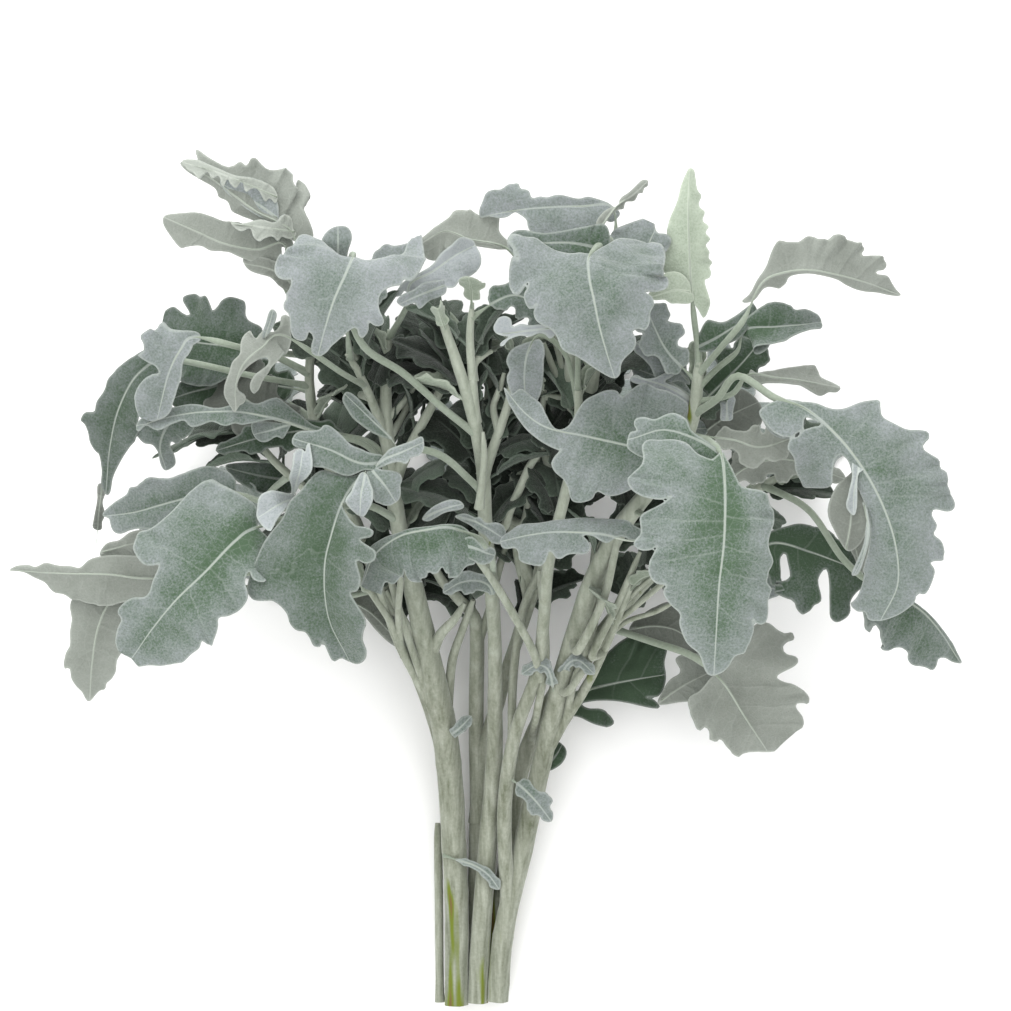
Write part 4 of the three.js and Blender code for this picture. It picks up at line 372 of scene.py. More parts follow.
        [80,-2, 92,0, 108,0, 125,-2, 137,-7, 147,-10, 153,-10, 159,-13, 165,-12, 172,-8, 181,-10, 190,-11,
        196,-5, 206,-6, 220,-8, 230,-1, 236,-5, 239,-1, 233,6, 224,8, 214,8, 199,8, 185,7, 170,3, 158,5,
        148,10, 137,9, 123,18, 114,15, 103,10, 90,5, 78,4]}],
    ["leaf_left_behind", "stem_left_back", "main", 44, [-78,36,72, -92,38,82, -110.1,44,88, -124,41.2,90,
     -136.1,38,88, -146.5,35.2,84, -158.3,33.6,77],
     {"bare": 0.52, "face": [0, 0.2, 1], "fold": [4, 16], "curl": [-20, 10], "wave": 2, "light": 0.38,
      "green": 0.3, "left": [76.5,0.1, 98.5,0.9], "right": [71.5,-0.1, 83,0.4], "margin":
        [111,9, 125,19, 141,21, 157,19, 166,21, 175,24, 186,20, 194,20, 199,15, 211,11, 221,6, 228,1,
        221,-3, 218,-12, 211,-16, 202,-14, 194,-14, 185,-17, 175,-18, 163,-21, 154,-22, 146,-19, 143,-11,
        130,-12, 112,-7]}],
    ["leaf_left_far_point", "stem_left_back", "main", 20, [-74,14,50, -106,10,55, -142.5,8.3,57,
     -158.7,9.9,58, -179.4,10.3,54, -199.6,11.4,47],
     {"bare": 0.57, "face": [0, 0.2, -1], "fold": 10, "wave": 1.6, "left": [92,-0.4, 131,0.7],
      "right": [107.5,0.1, 117.5,0.2], "margin":
        [167,-15, 189,-18, 207,-16, 222,-14, 230,-11, 237,-5, 245,-6, 256,-6, 267,-8, 276,-4, 283,-5,
        293,-4, 299,0, 288,1, 279,5, 269,9, 265,15, 261,18, 253,19, 246,23, 231,27, 213,28, 193,21, 179,16,
        165,10]}],
    ["leaf_left_low_hanging", "stem_left_back", "main", 4, [-70,0,38, -104,4,42, -147.4,2.4,46,
     -158.7,-0.9,47, -164.6,-12.4,45, -167.5,-27.7,40, -169,-41.5,33],
     {"bare": 0.67, "face": [0, 0, -1], "fold": 6, "curl": -10, "wave": 1.4,
      "left": [120.5,-0.1, 135.5,0.6], "right": [124.5,0.2, 134.5,0.3], "margin":
        [213,-2, 220,-9, 229,-18, 236,-27, 242,-28, 251,-23, 260,-22, 270,-20, 279,-23, 291,-23, 290,-18,
        299,-16, 306,-12, 311,-7, 316,-4, 318,0, 309,7, 307,12, 301,13, 295,17, 287,20, 277,20, 267,24,
        253,28, 208,22, 208,10]}],
    ["leaf_right_under_grey", "stem_right_back", "main", 26, [87.8,41.4,68, 98.1,52.5,76, 115.5,56.2,79,
     139.1,48.5,73],
     {"bare": 0.3, "half": [9, 10], "face": [0, 0, -1], "fold": 6, "curl": -10, "cut": [0.4, 0.3],
      "widest": 0.5, "wave": 1.4}],
    ["leaf_right_under_brown", "stem_right", "main", 66, [92,64,99, 104,61,101, 120,66,101],
     {"bare": 0.24, "half": [8, 9], "face": [0, 0, -1], "fold": 10, "lobes": 3, "cut": [0.4, 0.3],
      "widest": 0.5, "wave": 1.4}],
    # The dark fill leaves, with a light below zero, are painted shade: their colour is darkened to stand in
    # for the shade inside the head.
    ["leaf_left_dark_fill", "stem_left_back", "main", 84, [-88,86,64, -100,88,56, -113,88,46],
     {"face": [0, 0.2, 1], "lobes": 3, "cut": [0.4, 0.2], "light": -0.1}],
    ["leaf_left_dark_tip", "stem_left", "main", 56, [-54,64,78, -74,68,84, -96,65,84, -114,60,78],
     {"bare": 0.3, "half": 7, "lobes": 3, "cut": [0.3, 0.2], "light": 0, "green": 0.6}],
    ["leaf_top_right_cluster", "stem_right", "main", 87, [67,98,108, 61,109,108, 57,120,103],
     {"half": [9, 10], "face": [-0.2, 0.2, 1], "fold": 10, "lobes": 3, "cut": [0.5, 0.3], "wave": 1.2}],
    ["leaf_right_dark_fill", "stem_right", "main", 76, [86,84,92, 97,95,90, 107,107,84],
     {"face": [0, 0.2, 1], "lobes": 3, "cut": [0.4, 0.2], "light": -0.1}],
    ["leaf_centre_dark_fill", "stem_centre_back", "main", 40, [36,50,57, 46,60,53, 54,70,45],
     {"half": 12, "face": [0, 0.2, 1], "lobes": 3, "cut": [0.4, 0.2], "light": -0.1}],
    ["leaf_floor_left_outer", "stem_left_back", "far_shoot", 50, [-97.4,41.7,44, -107.9,39.3,22,
     -121.2,37.3,4, -139.3,31.9,0.3, -150.9,27.5,0.3],
     {"half": [16, 15], "face": [0.2, 0, 1], "lobes": 3, "rests": True}],
    ["leaf_floor_left_top", "stem_left_back", "main", 72, [-88.3,82.2,46, -97.3,89.6,24, -107.1,98.8,4,
     -120.1,111.1,0.3, -128.5,119.7,0.3],
     {"half": [15, 16], "face": [0.2, 0.6, 1], "lobes": 3, "rests": True}],
    ["leaf_floor_left_low", "stem_left_back", "main", 10, [-62.1,11,26, -76.4,11.7,8, -92.9,12,1,
     -113.5,12.4,0.3],
     {"half": [15, 14], "lobes": 3, "rests": True}],
    ["leaf_floor_centre", "stem_centre_back", "left_shoot", 24, [-2,38,32, -10,50,12, -18,64,1.2,
     -28,84,0.3],
     {"half": [16, 17], "face": [-0.2, 0.6, 1], "lobes": 3, "rests": True}],
    ["leaf_floor_top", "stem_centre_back", "main", 62, [34,74,48, 38,86,24, 42,98,4, 46,114,0.3, 48,126,0.3],
     {"half": [16, 17], "face": [0, 0.6, 1], "lobes": 3, "rests": True}],
    ["leaf_floor_right_low", "stem_right_back", "main", 2, [68,8,22, 82,9,7, 98,7,1, 118,2,0.3],
     {"half": [15, 16], "lobes": 3, "rests": True}],
    ["leaf_floor_right_outer", "stem_right_back", "main", 40, [108,51.1,42, 116.6,56.1,22, 128,60.4,4,
     143.9,64.9,0.3, 154,67.3,0.3],
     {"half": [14, 15], "face": [-0.4, 0, 1], "lobes": 3, "rests": True}],
    ["leaf_floor_right_top", "stem_right_back", "main", 46, [103.3,62.5,46, 99,73.8,24, 95.6,85.7,4,
     92,102.1,0.3, 89.1,113.1,0.3],
     {"half": [15, 14], "face": [0, 0.6, 1], "lobes": 3, "rests": True}],
]

# Lobes and small leaves that stand clear of their leaf's blade: [leaf, line, details].
EXTRA_LOBES = [
    ["leaf_left_behind", [-86.4,48.3,36, -93.6,49.1,40, -101.8,50.7,41, -111.8,53.2,38],
     {"curl": -10, "light": 0.2, "green": 0.5, "margin":
      [-5,-8, 2,3, 14,12, 33,10, 48,6, 58,1, 48,-7, 34,-12, 21,-14, 8,-14]}],
    ["leaf_right_outer", [136.9,21,112, 138.2,30.1,116, 138.8,40,117, 139,50.3,114],
     {"curl": -10, "face": [0, 0, -1], "light": 0.3, "margin":
      [-2,-1, 14,12, 31,19, 50,13, 60,3, 64,-3, 57,-11, 41,-13, 22,-14, 5,-10]}],
    ["leaf_top_left_front", [-63.3,131.5,132, -63.2,136,136, -63.1,140.6,138, -63.2,146.2,136],
     {"curl": -12, "light": 0.35, "margin":
      [0,-6, 14,-8, 23,-13, 32,-8, 36,0, 34,8, 26,11, 15,8, 0,5]}],
    ["leaf_top_front", [39.1,138.3,136, 28.1,140.1,139, 17.6,140.1,139, 5.5,139.9,135],
     {"curl": -14, "light": 0.3, "green": 0.4, "ruffle": 1.2, "margin":
      [-9,-9, -7,7, -2,18, 6,18, 18,13, 32,9, 47,8, 62,11, 71,9, 76,1, 70,-8, 57,-14, 33,-18, 5,-18]}],
    ["leaf_top_right_cluster", [76.7,82,72, 70.8,85.9,78, 64.3,89,82, 56.2,92.2,82],
     {"curl": -16, "light": 0.35, "green": 0.4, "margin":
      [-6,0, 8,5, 21,8, 35,8, 46,9, 56,9, 60,1, 54,-7, 44,-9, 32,-15, 17,-13, -1,-9]}],
    ["leaf_top_right_cluster", [75,87.8,94, 69.3,93.3,99, 63.6,97.2,101, 56.5,101.2,100],
     {"curl": -16, "light": 0.5, "green": 0.1, "margin":
      [-5,-1, 8,5, 19,14, 29,15, 35,10, 40,2, 49,4, 55,2, 54,-6, 46,-8, 36,-11, 25,-17, 13,-16, 6,-6]}],
    ["leaf_top_right_cluster", [77.4,79.1,96, 70,83.4,100, 63.6,86.1,101, 55,88.6,99],
     {"curl": -16, "light": 0.7, "green": 0, "margin":
      [-3,0, 10,2, 20,3, 30,3, 26,9, 25,14, 30,12, 38,4, 46,1, 54,2, 58,-3, 52,-5, 42,-4, 35,-11, 33,-5,
      22,-5, 5,-5]}],
    ["leaf_top_right_cluster", [83.3,69.1,68, 76.8,76.4,70, 67.9,83.7,70, 56.7,88.6,66],
     {"curl": -10, "light": 0, "green": 0.8, "margin":
      [-4,-5, 9,5, 24,12, 37,21, 49,25, 62,22, 74,14, 78,0, 68,-12, 46,-16, 22,-14, 5,-13]}],
    ["leaf_right_top_green", [80.8,65.9,70, 86.7,70.7,74, 93.5,74.6,75, 102.6,78.8,72],
     {"curl": -10, "face": [0, 0, -1], "light": 0.25, "margin":
      [-2,0, 7,8, 17,13, 27,15, 35,19, 45,18, 54,11, 58,0, 58,-11, 48,-19, 33,-18, 17,-14, 2,-8]}],
    ["leaf_right_top_green", [90.9,72.1,88, 90.7,75.1,92, 90.6,78.7,93, 90.7,82.3,92],
     {"curl": -12, "light": 0.6, "green": 0.1, "margin":
      [0,-5, 14,-5, 20,-6, 26,-3, 26,3, 21,7, 11,5, -1,4]}],
    ["leaf_right_top_green", [79.3,101,108, 85.4,104,112, 91.7,107.9,113, 99.8,112.8,110],
     {"curl": -12, "light": 0.2, "green": 0.8, "margin":
      [-6,-1, 5,-10, 17,-16, 27,-8, 39,-7, 50,-8, 58,-8, 56,1, 45,6, 31,10, 17,8, 2,6]}],
    ["leaf_upright_young", [75,122,116, 70.1,122.7,118.7, 66.2,121.9,119.3, 61.1,120.4,118],
     {"curl": -10, "margin":
      [-5,-5, 1,6, 8,12, 13,15, 20,14, 17,7, 27,6, 35,3, 32,-3, 24,-5, 18,-10, 3,-10]}],
    ["leaf_right_underside", [56,-12.7,30, 63.8,-11.9,32, 72.1,-13.5,32, 81.7,-19.4,28],
     {"curl": -10, "face": [0, 0, -1], "light": 0.1, "margin":
      [-6,-4, -2,5, 10,12, 19,18, 25,21, 32,15, 42,9, 57,4, 66,-3, 57,-10, 43,-14, 22,-16, 6,-11]}],
    ["leaf_right_underside", [66.9,-42.6,26, 72.6,-38.4,29, 78.3,-35,30, 86.7,-31,28],
     {"curl": -10, "face": [0, 0, -1], "light": 0.35, "margin":
      [-5,-1, 6,6, 16,10, 26,11, 27,22, 34,23, 45,18, 54,8, 52,-2, 41,-10, 26,-15, 12,-10]}],
    ["leaf_left_front", [-61,-1.9,34, -53.5,-6,36, -46.1,-13.4,36, -37.2,-23.4,32],
     {"curl": -8, "face": [0, 0, -1], "light": 0.4, "margin":
      [-1,-2, -2,5, 8,11, 18,17, 30,20, 50,16, 74,9, 86,1, 75,-3, 58,-4, 44,-7, 25,-7]}],
    ["leaf_left_hanging", [-160.8,46.5,66, -163.3,38,51.2, -165.4,28.5,36.6, -167.8,16.9,22],
     {"curl": -10, "face": [0, 0, -1], "light": 0.1, "margin":
      [2,-4, -2,4, 15,3, 31,2, 46,5, 60,3, 70,3, 70,-4, 56,-4, 38,-3, 21,-3]}],
    ["leaf_left_far_point", [-161.4,18.9,54, -155.6,20.5,56, -149.8,22.2,57, -142.5,22.2,56],
     {"curl": -10, "face": [0, 0, -1], "light": 0.45, "margin":
      [-4,-2, 4,6, 17,6, 26,10, 36,11, 43,3, 42,-10, 25,-15, 8,-10]}],
    ["leaf_left_level", [-110.8,87.7,70, -117.9,85.2,72, -124.4,83.6,72, -131.9,81.3,68],
     {"curl": -10, "light": 0.05, "green": 0.5, "margin":
      [-5,4, 7,8, 23,10, 40,10, 50,3, 48,-8, 33,-15, 16,-13, 2,-11]}],
    ["leaf_right_outer", [138.2,32,70, 141.1,25.9,74, 143.5,19.9,74, 145.4,10.9,70],
     {"curl": -10, "face": [0, 0, -1], "light": 0.35, "margin":
      [2,-2, -2,6, 2,16, 12,20, 28,12, 43,5, 52,1, 38,-2, 22,-5]}],
    ["leaf_small_bright", [-22.2,124.6,112, -27.5,122.4,116.4, -32.3,120.4,118.7, -37.8,118,117],
     {"curl": -14, "light": 0.55, "ruffle": 1, "margin":
      [-4,4, 6,6, 17,8, 27,6, 37,6, 44,3, 41,-3, 31,-4, 29,-10, 18,-7, 9,-7, 0,-5]}],
    ["leaf_far_left_smooth", [-82.9,126.1,96, -87.6,130,99, -93.1,132.3,100, -101.2,134,98],
     {"curl": -10, "face": [0, 0, -1], "light": 0.35, "margin":
      [-6,4, 6,-4, 18,-7, 28,-8, 39,-7, 46,-3, 40,4, 30,6, 20,6, 7,8]}],
    ["leaf_right_small_dark", [19,-71.8,22, 21,-68.3,24, 23.5,-65,24, 25.6,-61.4,22],
     {"curl": -10, "light": -0.1, "green": 0.8, "margin":
      [-2,-1, 10,-4, 22,-6, 28,-3, 25,5, 16,8, 6,6]}],
    ["leaf_far_left_crinkled", [-88.2,159.7,112, -100.2,164.7,115.7, -113.2,169.8,115.3, -124.5,173.2,112],
     {"curl": -30, "face": [0, 0, -1], "light": 0.75, "ruffle": 1.6, "margin":
      [82,-1, 71,-5, 61,-4, 48,-3, 37,-3, 26,-6, 16,-7, 6,-6, 0,-1, -1,5, 5,3, 7,7, 13,3, 18,0, 22,2, 25,6,
      31,-1, 33,6, 38,5, 42,2, 43,10, 49,2, 54,6, 59,2, 62,5, 64,10, 70,6, 75,5]}],
    ["leaf_far_left_crinkled", [-88.2,151.6,110, -94.1,155.9,111, -101.2,160.2,111, -110,165,111],
     {"curl": 10, "light": 0.6, "green": 0.3, "margin":
      [54,1, 49,7, 40,10, 30,11, 20,11, 9,11, 2,5, -2,-2, 8,-7, 22,-8, 35,-6, 46,-4]}],
    ["leaf_far_left_crinkled", [-81.7,146.3,106, -89.7,147.2,111.4, -98,148.3,112.7, -105.7,149.2,110],
     {"curl": -30, "face": [0, 0, -1], "light": 0.7, "ruffle": 1.8, "margin":
      [55,-2, 48,-1, 39,-3, 30,-6, 21,-5, 17,-7, 15,-12, 10,-13, 3,-9, 2,-3, -2,2, 3,6, 10,5, 14,9, 20,6,
      26,9, 29,12, 34,9, 38,2, 45,5, 51,3]}],
    ["leaf_centre_left", [-13.4,21.8,109, -9.1,20.6,109, -5.5,19,107, -2.4,18.1,104],
     {"curl": -12, "margin":
      [-3,-4, 1,-8, 6,-7, 15,-2, 19,-5, 26,-5, 29,0, 25,6, 18,10, 12,10, 2,8]}],
    ["leaf_centre_left", [-30.3,32.8,98, -25.4,35.2,103, -19.8,37.2,105, -14.7,38.4,103],
     {"curl": -24, "light": 0.5, "green": 0, "margin":
      [-3,0, 9,-4, 26,-6, 35,-4, 39,-1, 39,3, 32,4, 22,3, 13,4, 3,4]}],
    ["leaf_centre_left", [-16.8,33.2,92, -10.4,31.6,97, -4.4,28.4,99, 1.2,24.8,97],
     {"curl": -16, "light": 0.3, "green": 0, "margin":
      [-4,0, 6,-4, 16,-3, 20,-5, 26,-3, 34,-8, 41,-8, 49,0, 46,5, 39,8, 31,6, 24,6, 13,4, 2,2]}],
    ["leaf_left_lyre", [-44.9,55,117, -55.1,54.5,119, -66.9,59.7,119, -79.7,63.6,116],
     {"curl": -14, "light": 0.42, "margin":
      [6,-6, 17,-5, 25,-12, 31,-14, 46,-15, 58,-17, 64,-13, 66,-6, 73,-6, 78,-4, 79,1, 75,7, 61,12, 58,17,
      53,18, 45,15, 35,11, 22,11, 10,8, 1,4]}],
    ["leaf_left_lyre", [-50.4,52.6,117, -45.2,56.1,121, -38.5,58.8,122, -30.7,62.4,119],
     {"fold": 4, "curl": -10, "light": 0.6, "margin":
      [2,1, 15,-3, 23,-6, 41,-5, 50,-5, 50,0, 47,5, 42,8, 34,7, 29,10, 24,6, 8,4]}],
    ["leaf_left_lyre", [-52,53.8,117, -48.8,49.8,119, -44.9,45.1,118, -41.5,39.6,113],
     {"curl": -14, "light": 0.6, "margin":
      [3,4, 3,-2, 10,-6, 17,-12, 22,-15, 27,-14, 30,-10, 37,-7, 42,-2, 41,5, 37,10, 30,14, 18,10]}],
    ["leaf_left_lyre", [-52.8,52.6,117, -53.5,47.8,122, -54.6,41.9,124, -55.1,34.5,121],
     {"fold": 10, "curl": 6, "light": 0.75, "margin":
      [6,3, 6,-1, 15,-5, 22,-9, 30,-10, 38,-7, 45,-3, 43,3, 32,12, 25,8, 16,6]}],
    ["leaf_left_lyre", [-39.6,57.8,110, -42.6,63.7,113.6, -50.5,71.5,113.3, -60.2,80.8,108],
     {"fold": 14, "curl": 14, "margin":
      [14,1, 23,1, 35,3, 47,4, 58,5, 67,4, 71,1, 68,-5, 59,-8, 49,-10, 38,-9, 26,-6]}],
    ["leaf_left_lyre", [-77.9,38,92, -82.6,40,104, -87.7,38,113, -94.1,34,112],
     {"fold": 8, "curl": 20, "light": 0.8, "margin":
      [21,3, 34,6, 43,10, 50,14, 55,14, 63,7, 68,-1, 64,-15, 54,-10, 44,-6, 27,-2]}],
    ["leaf_left_lyre", [-79.9,38,92, -81.3,43.2,106, -78.8,51.8,117, -77.6,59.7,118],
     {"fold": 10, "curl": 20, "light": 0.8, "margin":
      [22,-3, 35,-3, 49,-7, 62,-7, 72,-7, 76,-2, 74,2, 78,2, 82,4, 78,6, 64,10, 57,8, 44,3, 30,1]}],
    ["leaf_right_front", [88,56.3,141, 77.9,62.9,142.7, 64.3,67.2,142.3, 52.2,64.1,139],
     {"curl": -16, "margin":
      [5,2, 15,2, 26,3, 34,5, 39,11, 43,13, 50,14, 59,9, 66,13, 73,14, 76,10, 75,5, 81,5, 85,-1, 86,-7,
      78,-16, 70,-20, 34,-20, 11,-12]}],
    ["leaf_right_outer", [141.6,54.9,122, 140.7,51,124, 139.2,43.1,123, 139.1,34.8,119],
     {"fold": 20, "curl": 30, "light": 0.8, "margin":
      [-6,3, -8,-1, -3,-5, 5,-5, 10,-1, 15,-1, 27,-3, 39,-3, 46,-1, 43,3, 35,7, 27,5, 16,4, 5,6]}],
    ["leaf_right_outer", [143.4,38,119, 144.8,28.2,121, 143,18.3,120, 139.7,10.4,116],
     {"fold": 20, "curl": 30, "margin":
      [-4,1, 2,-2, 13,-2, 24,-2, 34,-2, 44,-2, 53,-3, 59,-2, 60,2, 52,3, 41,3, 31,2, 20,2, 10,0]}],
    ["leaf_right_outer", [120.5,77.8,121, 116.2,75.4,119.3, 110.4,73.1,117.7, 104.3,74.7,114],
     {"curl": -16, "margin":
      [1,1, 11,9, 31,11, 38,4, 41,-3, 34,-9, 22,-19, 17,-20, 10,-15, 5,-8]}],
    ["leaf_left_strap", [-92.7,101.4,108, -92.4,105.1,114, -90.7,109.8,117, -89.5,114.5,117],
     {"fold": 10, "curl": 10, "margin":
      [11,-3, 22,-3, 33,-3, 37,-1, 35,3, 30,4, 21,3, 11,0]}],
    ["leaf_left_level", [-130.1,72.8,88, -134.4,68.1,84.7, -136.8,60.9,79.3, -135.3,53.8,72],
     {"fold": -4, "curl": -10, "margin":
      [-9,-10, -5,-17, 5,-17, 24,-14, 24,-8, 42,-10, 54,-9, 58,-5, 59,1, 51,3, 38,2, 31,6, 31,14, 26,22,
      18,18, 5,7]}],
    ["leaf_left_level", [-79.9,70.4,92, -84.6,69.9,94, -91,67.9,94, -97.6,66.4,90],
     {"curl": -14, "margin":
      [6,2, 14,3, 24,7, 40,10, 43,4, 42,-2, 37,-7, 30,-8, 22,-6, 17,-9]}],
]

# Young leaves on the shoots: from the tip down, the turn in degrees of each round its shoot.
YOUNG_LEAVES = {
    "stem_left/main": [150, 240, 320],
    "stem_left/outer_shoot": [60, 200],
    "stem_left/right_shoot": [200, 330],
    "stem_left_back/main": [350, 30],
    "stem_left_back/far_shoot": [200],
    "stem_centre/main": [80, 170],
    "stem_centre/right_shoot": [200, 320],
    "stem_centre/bud_shoot": [100],
    "stem_centre_back/main": [235],
    "stem_centre_back/left_shoot": [150, 30],
    "stem_centre_back/thin_shoot": [150, 260],
    "stem_right/main": [260],
    "stem_right/inner_shoot": [340, 40],
    "stem_right/outer_shoot": [60, 150],
    "stem_right_back/main": [330],
}

# Small leaves low on the stems: [points from the stem to the tip, details].
STEM_LEAVES = [
    [40, [-23.6,-107,21, -19,-108.5,23.8, -11,-111,24.2, -5,-115,23.6, -0.5,-121,22.6],
     {"half": 1.6, "lobes": 2, "cut": [0, 0]}],
    [41, [-22,-58,31, -17,-54,37, -12,-49,36],
     {"half": [2.4, 2], "lobes": 2, "wave": 1}],
    [40, [-2.9,-4,49, -3.8,4.2,58, -9,7.2,62, -16.3,6.4,62, -23,2.4,58],
     {"half": [5, 4], "lobes": 2, "cut": [0.2, 0.2], "wave": 1}],
    [40, [3,-74,32, 9,-78,38, 15,-84,39.5, 21,-92,36],
     {"half": [5.5, 5], "lobes": 2, "cut": [0.4, 0.2]}],
    [41, [22.5,-42,37, 20,-30,48, 15,-27.5,50, 9,-31,47],
     {"half": 3, "lobes": 2, "wave": 1.5}],
    [42, [24,-37,38, 27,-28,46, 32,-25.5,49, 38.5,-31,47],
     {"half": 3, "lobes": 2, "wave": 1.5}],
]

# Leaf stalks between the stems, and the stub of one cut short: points x, y, z and radius.
BARE_STALKS = [
    [-6.5,70.3,70,2, -4.5,82.4,72,2, -4.4,94.4,76,1.9, -5.6,102.3,80,1.7],
    [-11,87.4,98.7,1.8, -10.7,93.8,98,1.6, -7.6,97.3,98,1.5, -3.2,99.4,96,1.3],
    [-45.5,64.3,75.5,1.5, -39.1,74.3,74,1.4, -35.5,83.5,77,1.4, -30.6,93.9,80,1.3, -25.7,101.8,84,1.2],
    [-5.8,25.7,64.7,1.8, 1.2,28.7,60,1.8, 4,36,64,1.7, 8.1,45.3,70,1.7, 12.1,54.1,76,1.6, 17.3,60.9,82,1.5,
     22.4,63.7,86,1.4],
    [4.1,32.5,49.5,1.4, 9.7,31.1,56,1.4, 12.1,44.1,62,1.3, 14.9,55.4,68,1.3, 16.5,66.3,72,1.2,
     17.7,78.3,76,1.2],
    [34.7,76.5,79.8,1.4, 28.9,76.1,84,1.4, 24.8,84.9,86,1.3, 20.8,94.1,88,1.3, 17.6,102.8,90,1.2],
    [34.4,75,79,2.3, 28.4,86.1,88,2.3, 28,97.9,92,2.2, 27.1,107.9,94,2],
    [17.7,81.8,84.6,1.3, 26.5,82.2,82,1.3, 24.4,94.1,86,1.2, 22.4,102.1,88,1.2, 20,108.8,90,1.1],
    [24.5,-36.1,37.7,1.6, 27.8,-38.6,44,1.6, 36.8,-25.4,46,1.4, 45.7,-12.2,50,1.3, 55.4,-3.2,54,1.2,
     63,3.4,58,1.2, 70.6,10,62,1.1],
    [26.3,-29.7,40.3,1.4, 40.1,-19.4,42,1.2, 51.1,-9.9,46,1.1, 63.3,-5.7,48,1, 71,-1.6,50,1],
    [42,-22.3,45.9,1.6, 37.5,-23.2,52,1.6, 45.6,-6.8,56,1.4, 51.9,7.6,62,1.3, 56.7,19,66,1.2],
    [30.5,-15.7,46.2,1.9, 31.7,-21,56,1.9, 41.8,-0.6,62,1.7, 45.7,15.7,68,1.6, 47.6,25.9,72,1.5],
    [40.2,-26.4,43.8,1.3, 45.7,-9,50,1.2, 53.8,1.3,54,1.1, 60.2,7.5,58,1, 68.2,13.2,62,1],
    [16.3,-33.7,44,1.6, 13.8,-22.8,52,1.7, 6.1,-7.9,61,1.7, 0,2.8,67,1.7, -5.7,11.8,72,1.7,
     -12.1,20.7,78,1.6],
    [-41.1,-20.1,42.9,1.5, -41.6,-5.6,54,1.4, -40.7,5.5,60,1.4, -39.7,15.7,66,1.3],
    [-39.2,-24,40.8,1.6, -44.2,-11,50,1.5, -50.6,-0.7,54,1.4, -56.2,7.5,58,1.3],
    [-25.3,-169.2,9,1.6, -25.7,-126.5,11,1.8, -26.1,-94.3,14,1.7],
    [-22,-59.9,27,2, -21.5,-42.5,29,2, -19.8,-25.8,33,1.9, -15.7,-13.4,38,1.7, -11.1,-0.9,44,1.5],
    [4.8,-61.1,35.5,1.7, 4.9,-38.2,33,1.8, 6.9,-17.5,37,1.8, 9.8,-3,42,1.7, 16.3,11.4,48,1.6,
     21.2,23.7,54,1.5],
    [12.4,-61.7,14.9,1.5, 15.2,-46,39,1.6, 18.4,-25.5,45,1.7, 17.5,-4.8,52,1.7, 16.2,11.6,58,1.6],
    [27.2,-50,32.7,1.5, 30.3,-33.8,42,1.5, 35.9,-19.2,48,1.4, 40.7,-0.7,55,1.4, 43,15.7,62,1.3],
    [29.5,-18.8,44.9,2.6, 34.8,-17.4,40,2.6, 37.6,-0.9,44,2.8, 39.6,15.5,50,2.8, 40.7,31.9,56,2.6],
    [-29.2,-42.1,34.2,1.6, -36.1,-21.4,44,1.6, -42.5,-0.8,52,1.5, -46.4,15.7,60,1.4],
    [-29.1,-25.5,38.9,1.4, -39.3,-9,47,1.4, -46.5,3.3,53,1.3],
    [-9.7,-20.6,27.9,1.6, -4.6,-5.2,34,1.7, -1.3,9.3,40,1.6, 2.4,21.6,46,1.5],
    [7.8,-14.8,29.7,1.5, 10.6,-1,38,1.5, 7.3,13.4,44,1.4, 5.7,23.7,50,1.3],
    [-8.5,36.8,80,1.6, -7.2,48,86,1.5, -6.4,58,91,1.3, -6.8,67.1,94,1],
    [-45.6,74.5,79.4,1.6, -51.7,83.6,72,1.5, -55.6,92.3,78,1.4, -59.4,101.4,84,1.2],
    [-52.2,81.1,87.6,1.5, -65.7,85.4,64,1.5, -69.9,91,70,1.4, -74.2,96.4,76,1.2],
    [-45.5,72.2,78.5,1.4, -36.2,83.4,80,1.3, -31.7,92.9,86,1.2, -27.6,101.6,90,1.1],
    [-0.5,67.5,85.4,1.5, -2.8,76.9,84,1.4, -0.4,84,88,1.3, 1.6,90.8,90,1.2],
]

LEAF_DEFAULTS = {
    "bare": 0.2, "half": 10, "face": [0, 0, 1], "fold": 0, "curl": 0, "lobes": 4, "cut": [0.5, 0.2],
    "widest": 0.45, "wave": 0, "ruffle": 0.9, "quilt": 0.45, "light": 0.5, "green": 0.5,
}

# ---- lines ----


def points_of(numbers, width):
    """A flat row of numbers as points of that many numbers each."""
    return np.array(numbers, float).reshape(-1, width)


STEMS = {stem: {axis: points_of(row, 4) for axis, row in axes.items()} for stem, axes in STEMS.items()}


def smooth(x):
    t = np.clip(x, 0.0, 1.0)
    return t * t * (3 - 2 * t)


def knot_line(points, t):
    """Points and directions of the smooth line through the points, at shares t of its knots."""
    p = np.array(points, float)
    p = np.vstack([2 * p[0] - p[1], p, 2 * p[-1] - p[-2]])
    k = np.clip(np.atleast_1d(t) * (len(points) - 1), 0, len(points) - 1 - 1e-9)
    i = np.floor(k).astype(int)
    at, way = between_knots(p[i], p[i + 1], p[i + 2], p[i + 3], (k - i)[:, None])
    return at, way / np.linalg.norm(way[:, :3], axis=1)[:, None]


def between_knots(a, b, c, d, w):
    """The smooth line's point, and its direction, at share w of the way from b to c."""
    start, end = (c - a) / 2, (d - b) / 2
    at = (b + start * w + (3 * (c - b) - 2 * start - end) * w**2 + (2 * (b - c) + start + end) * w**3)
    way = start + 2 * (3 * (c - b) - 2 * start - end) * w + 3 * (2 * (b - c) + start + end) * w**2
    return at, way


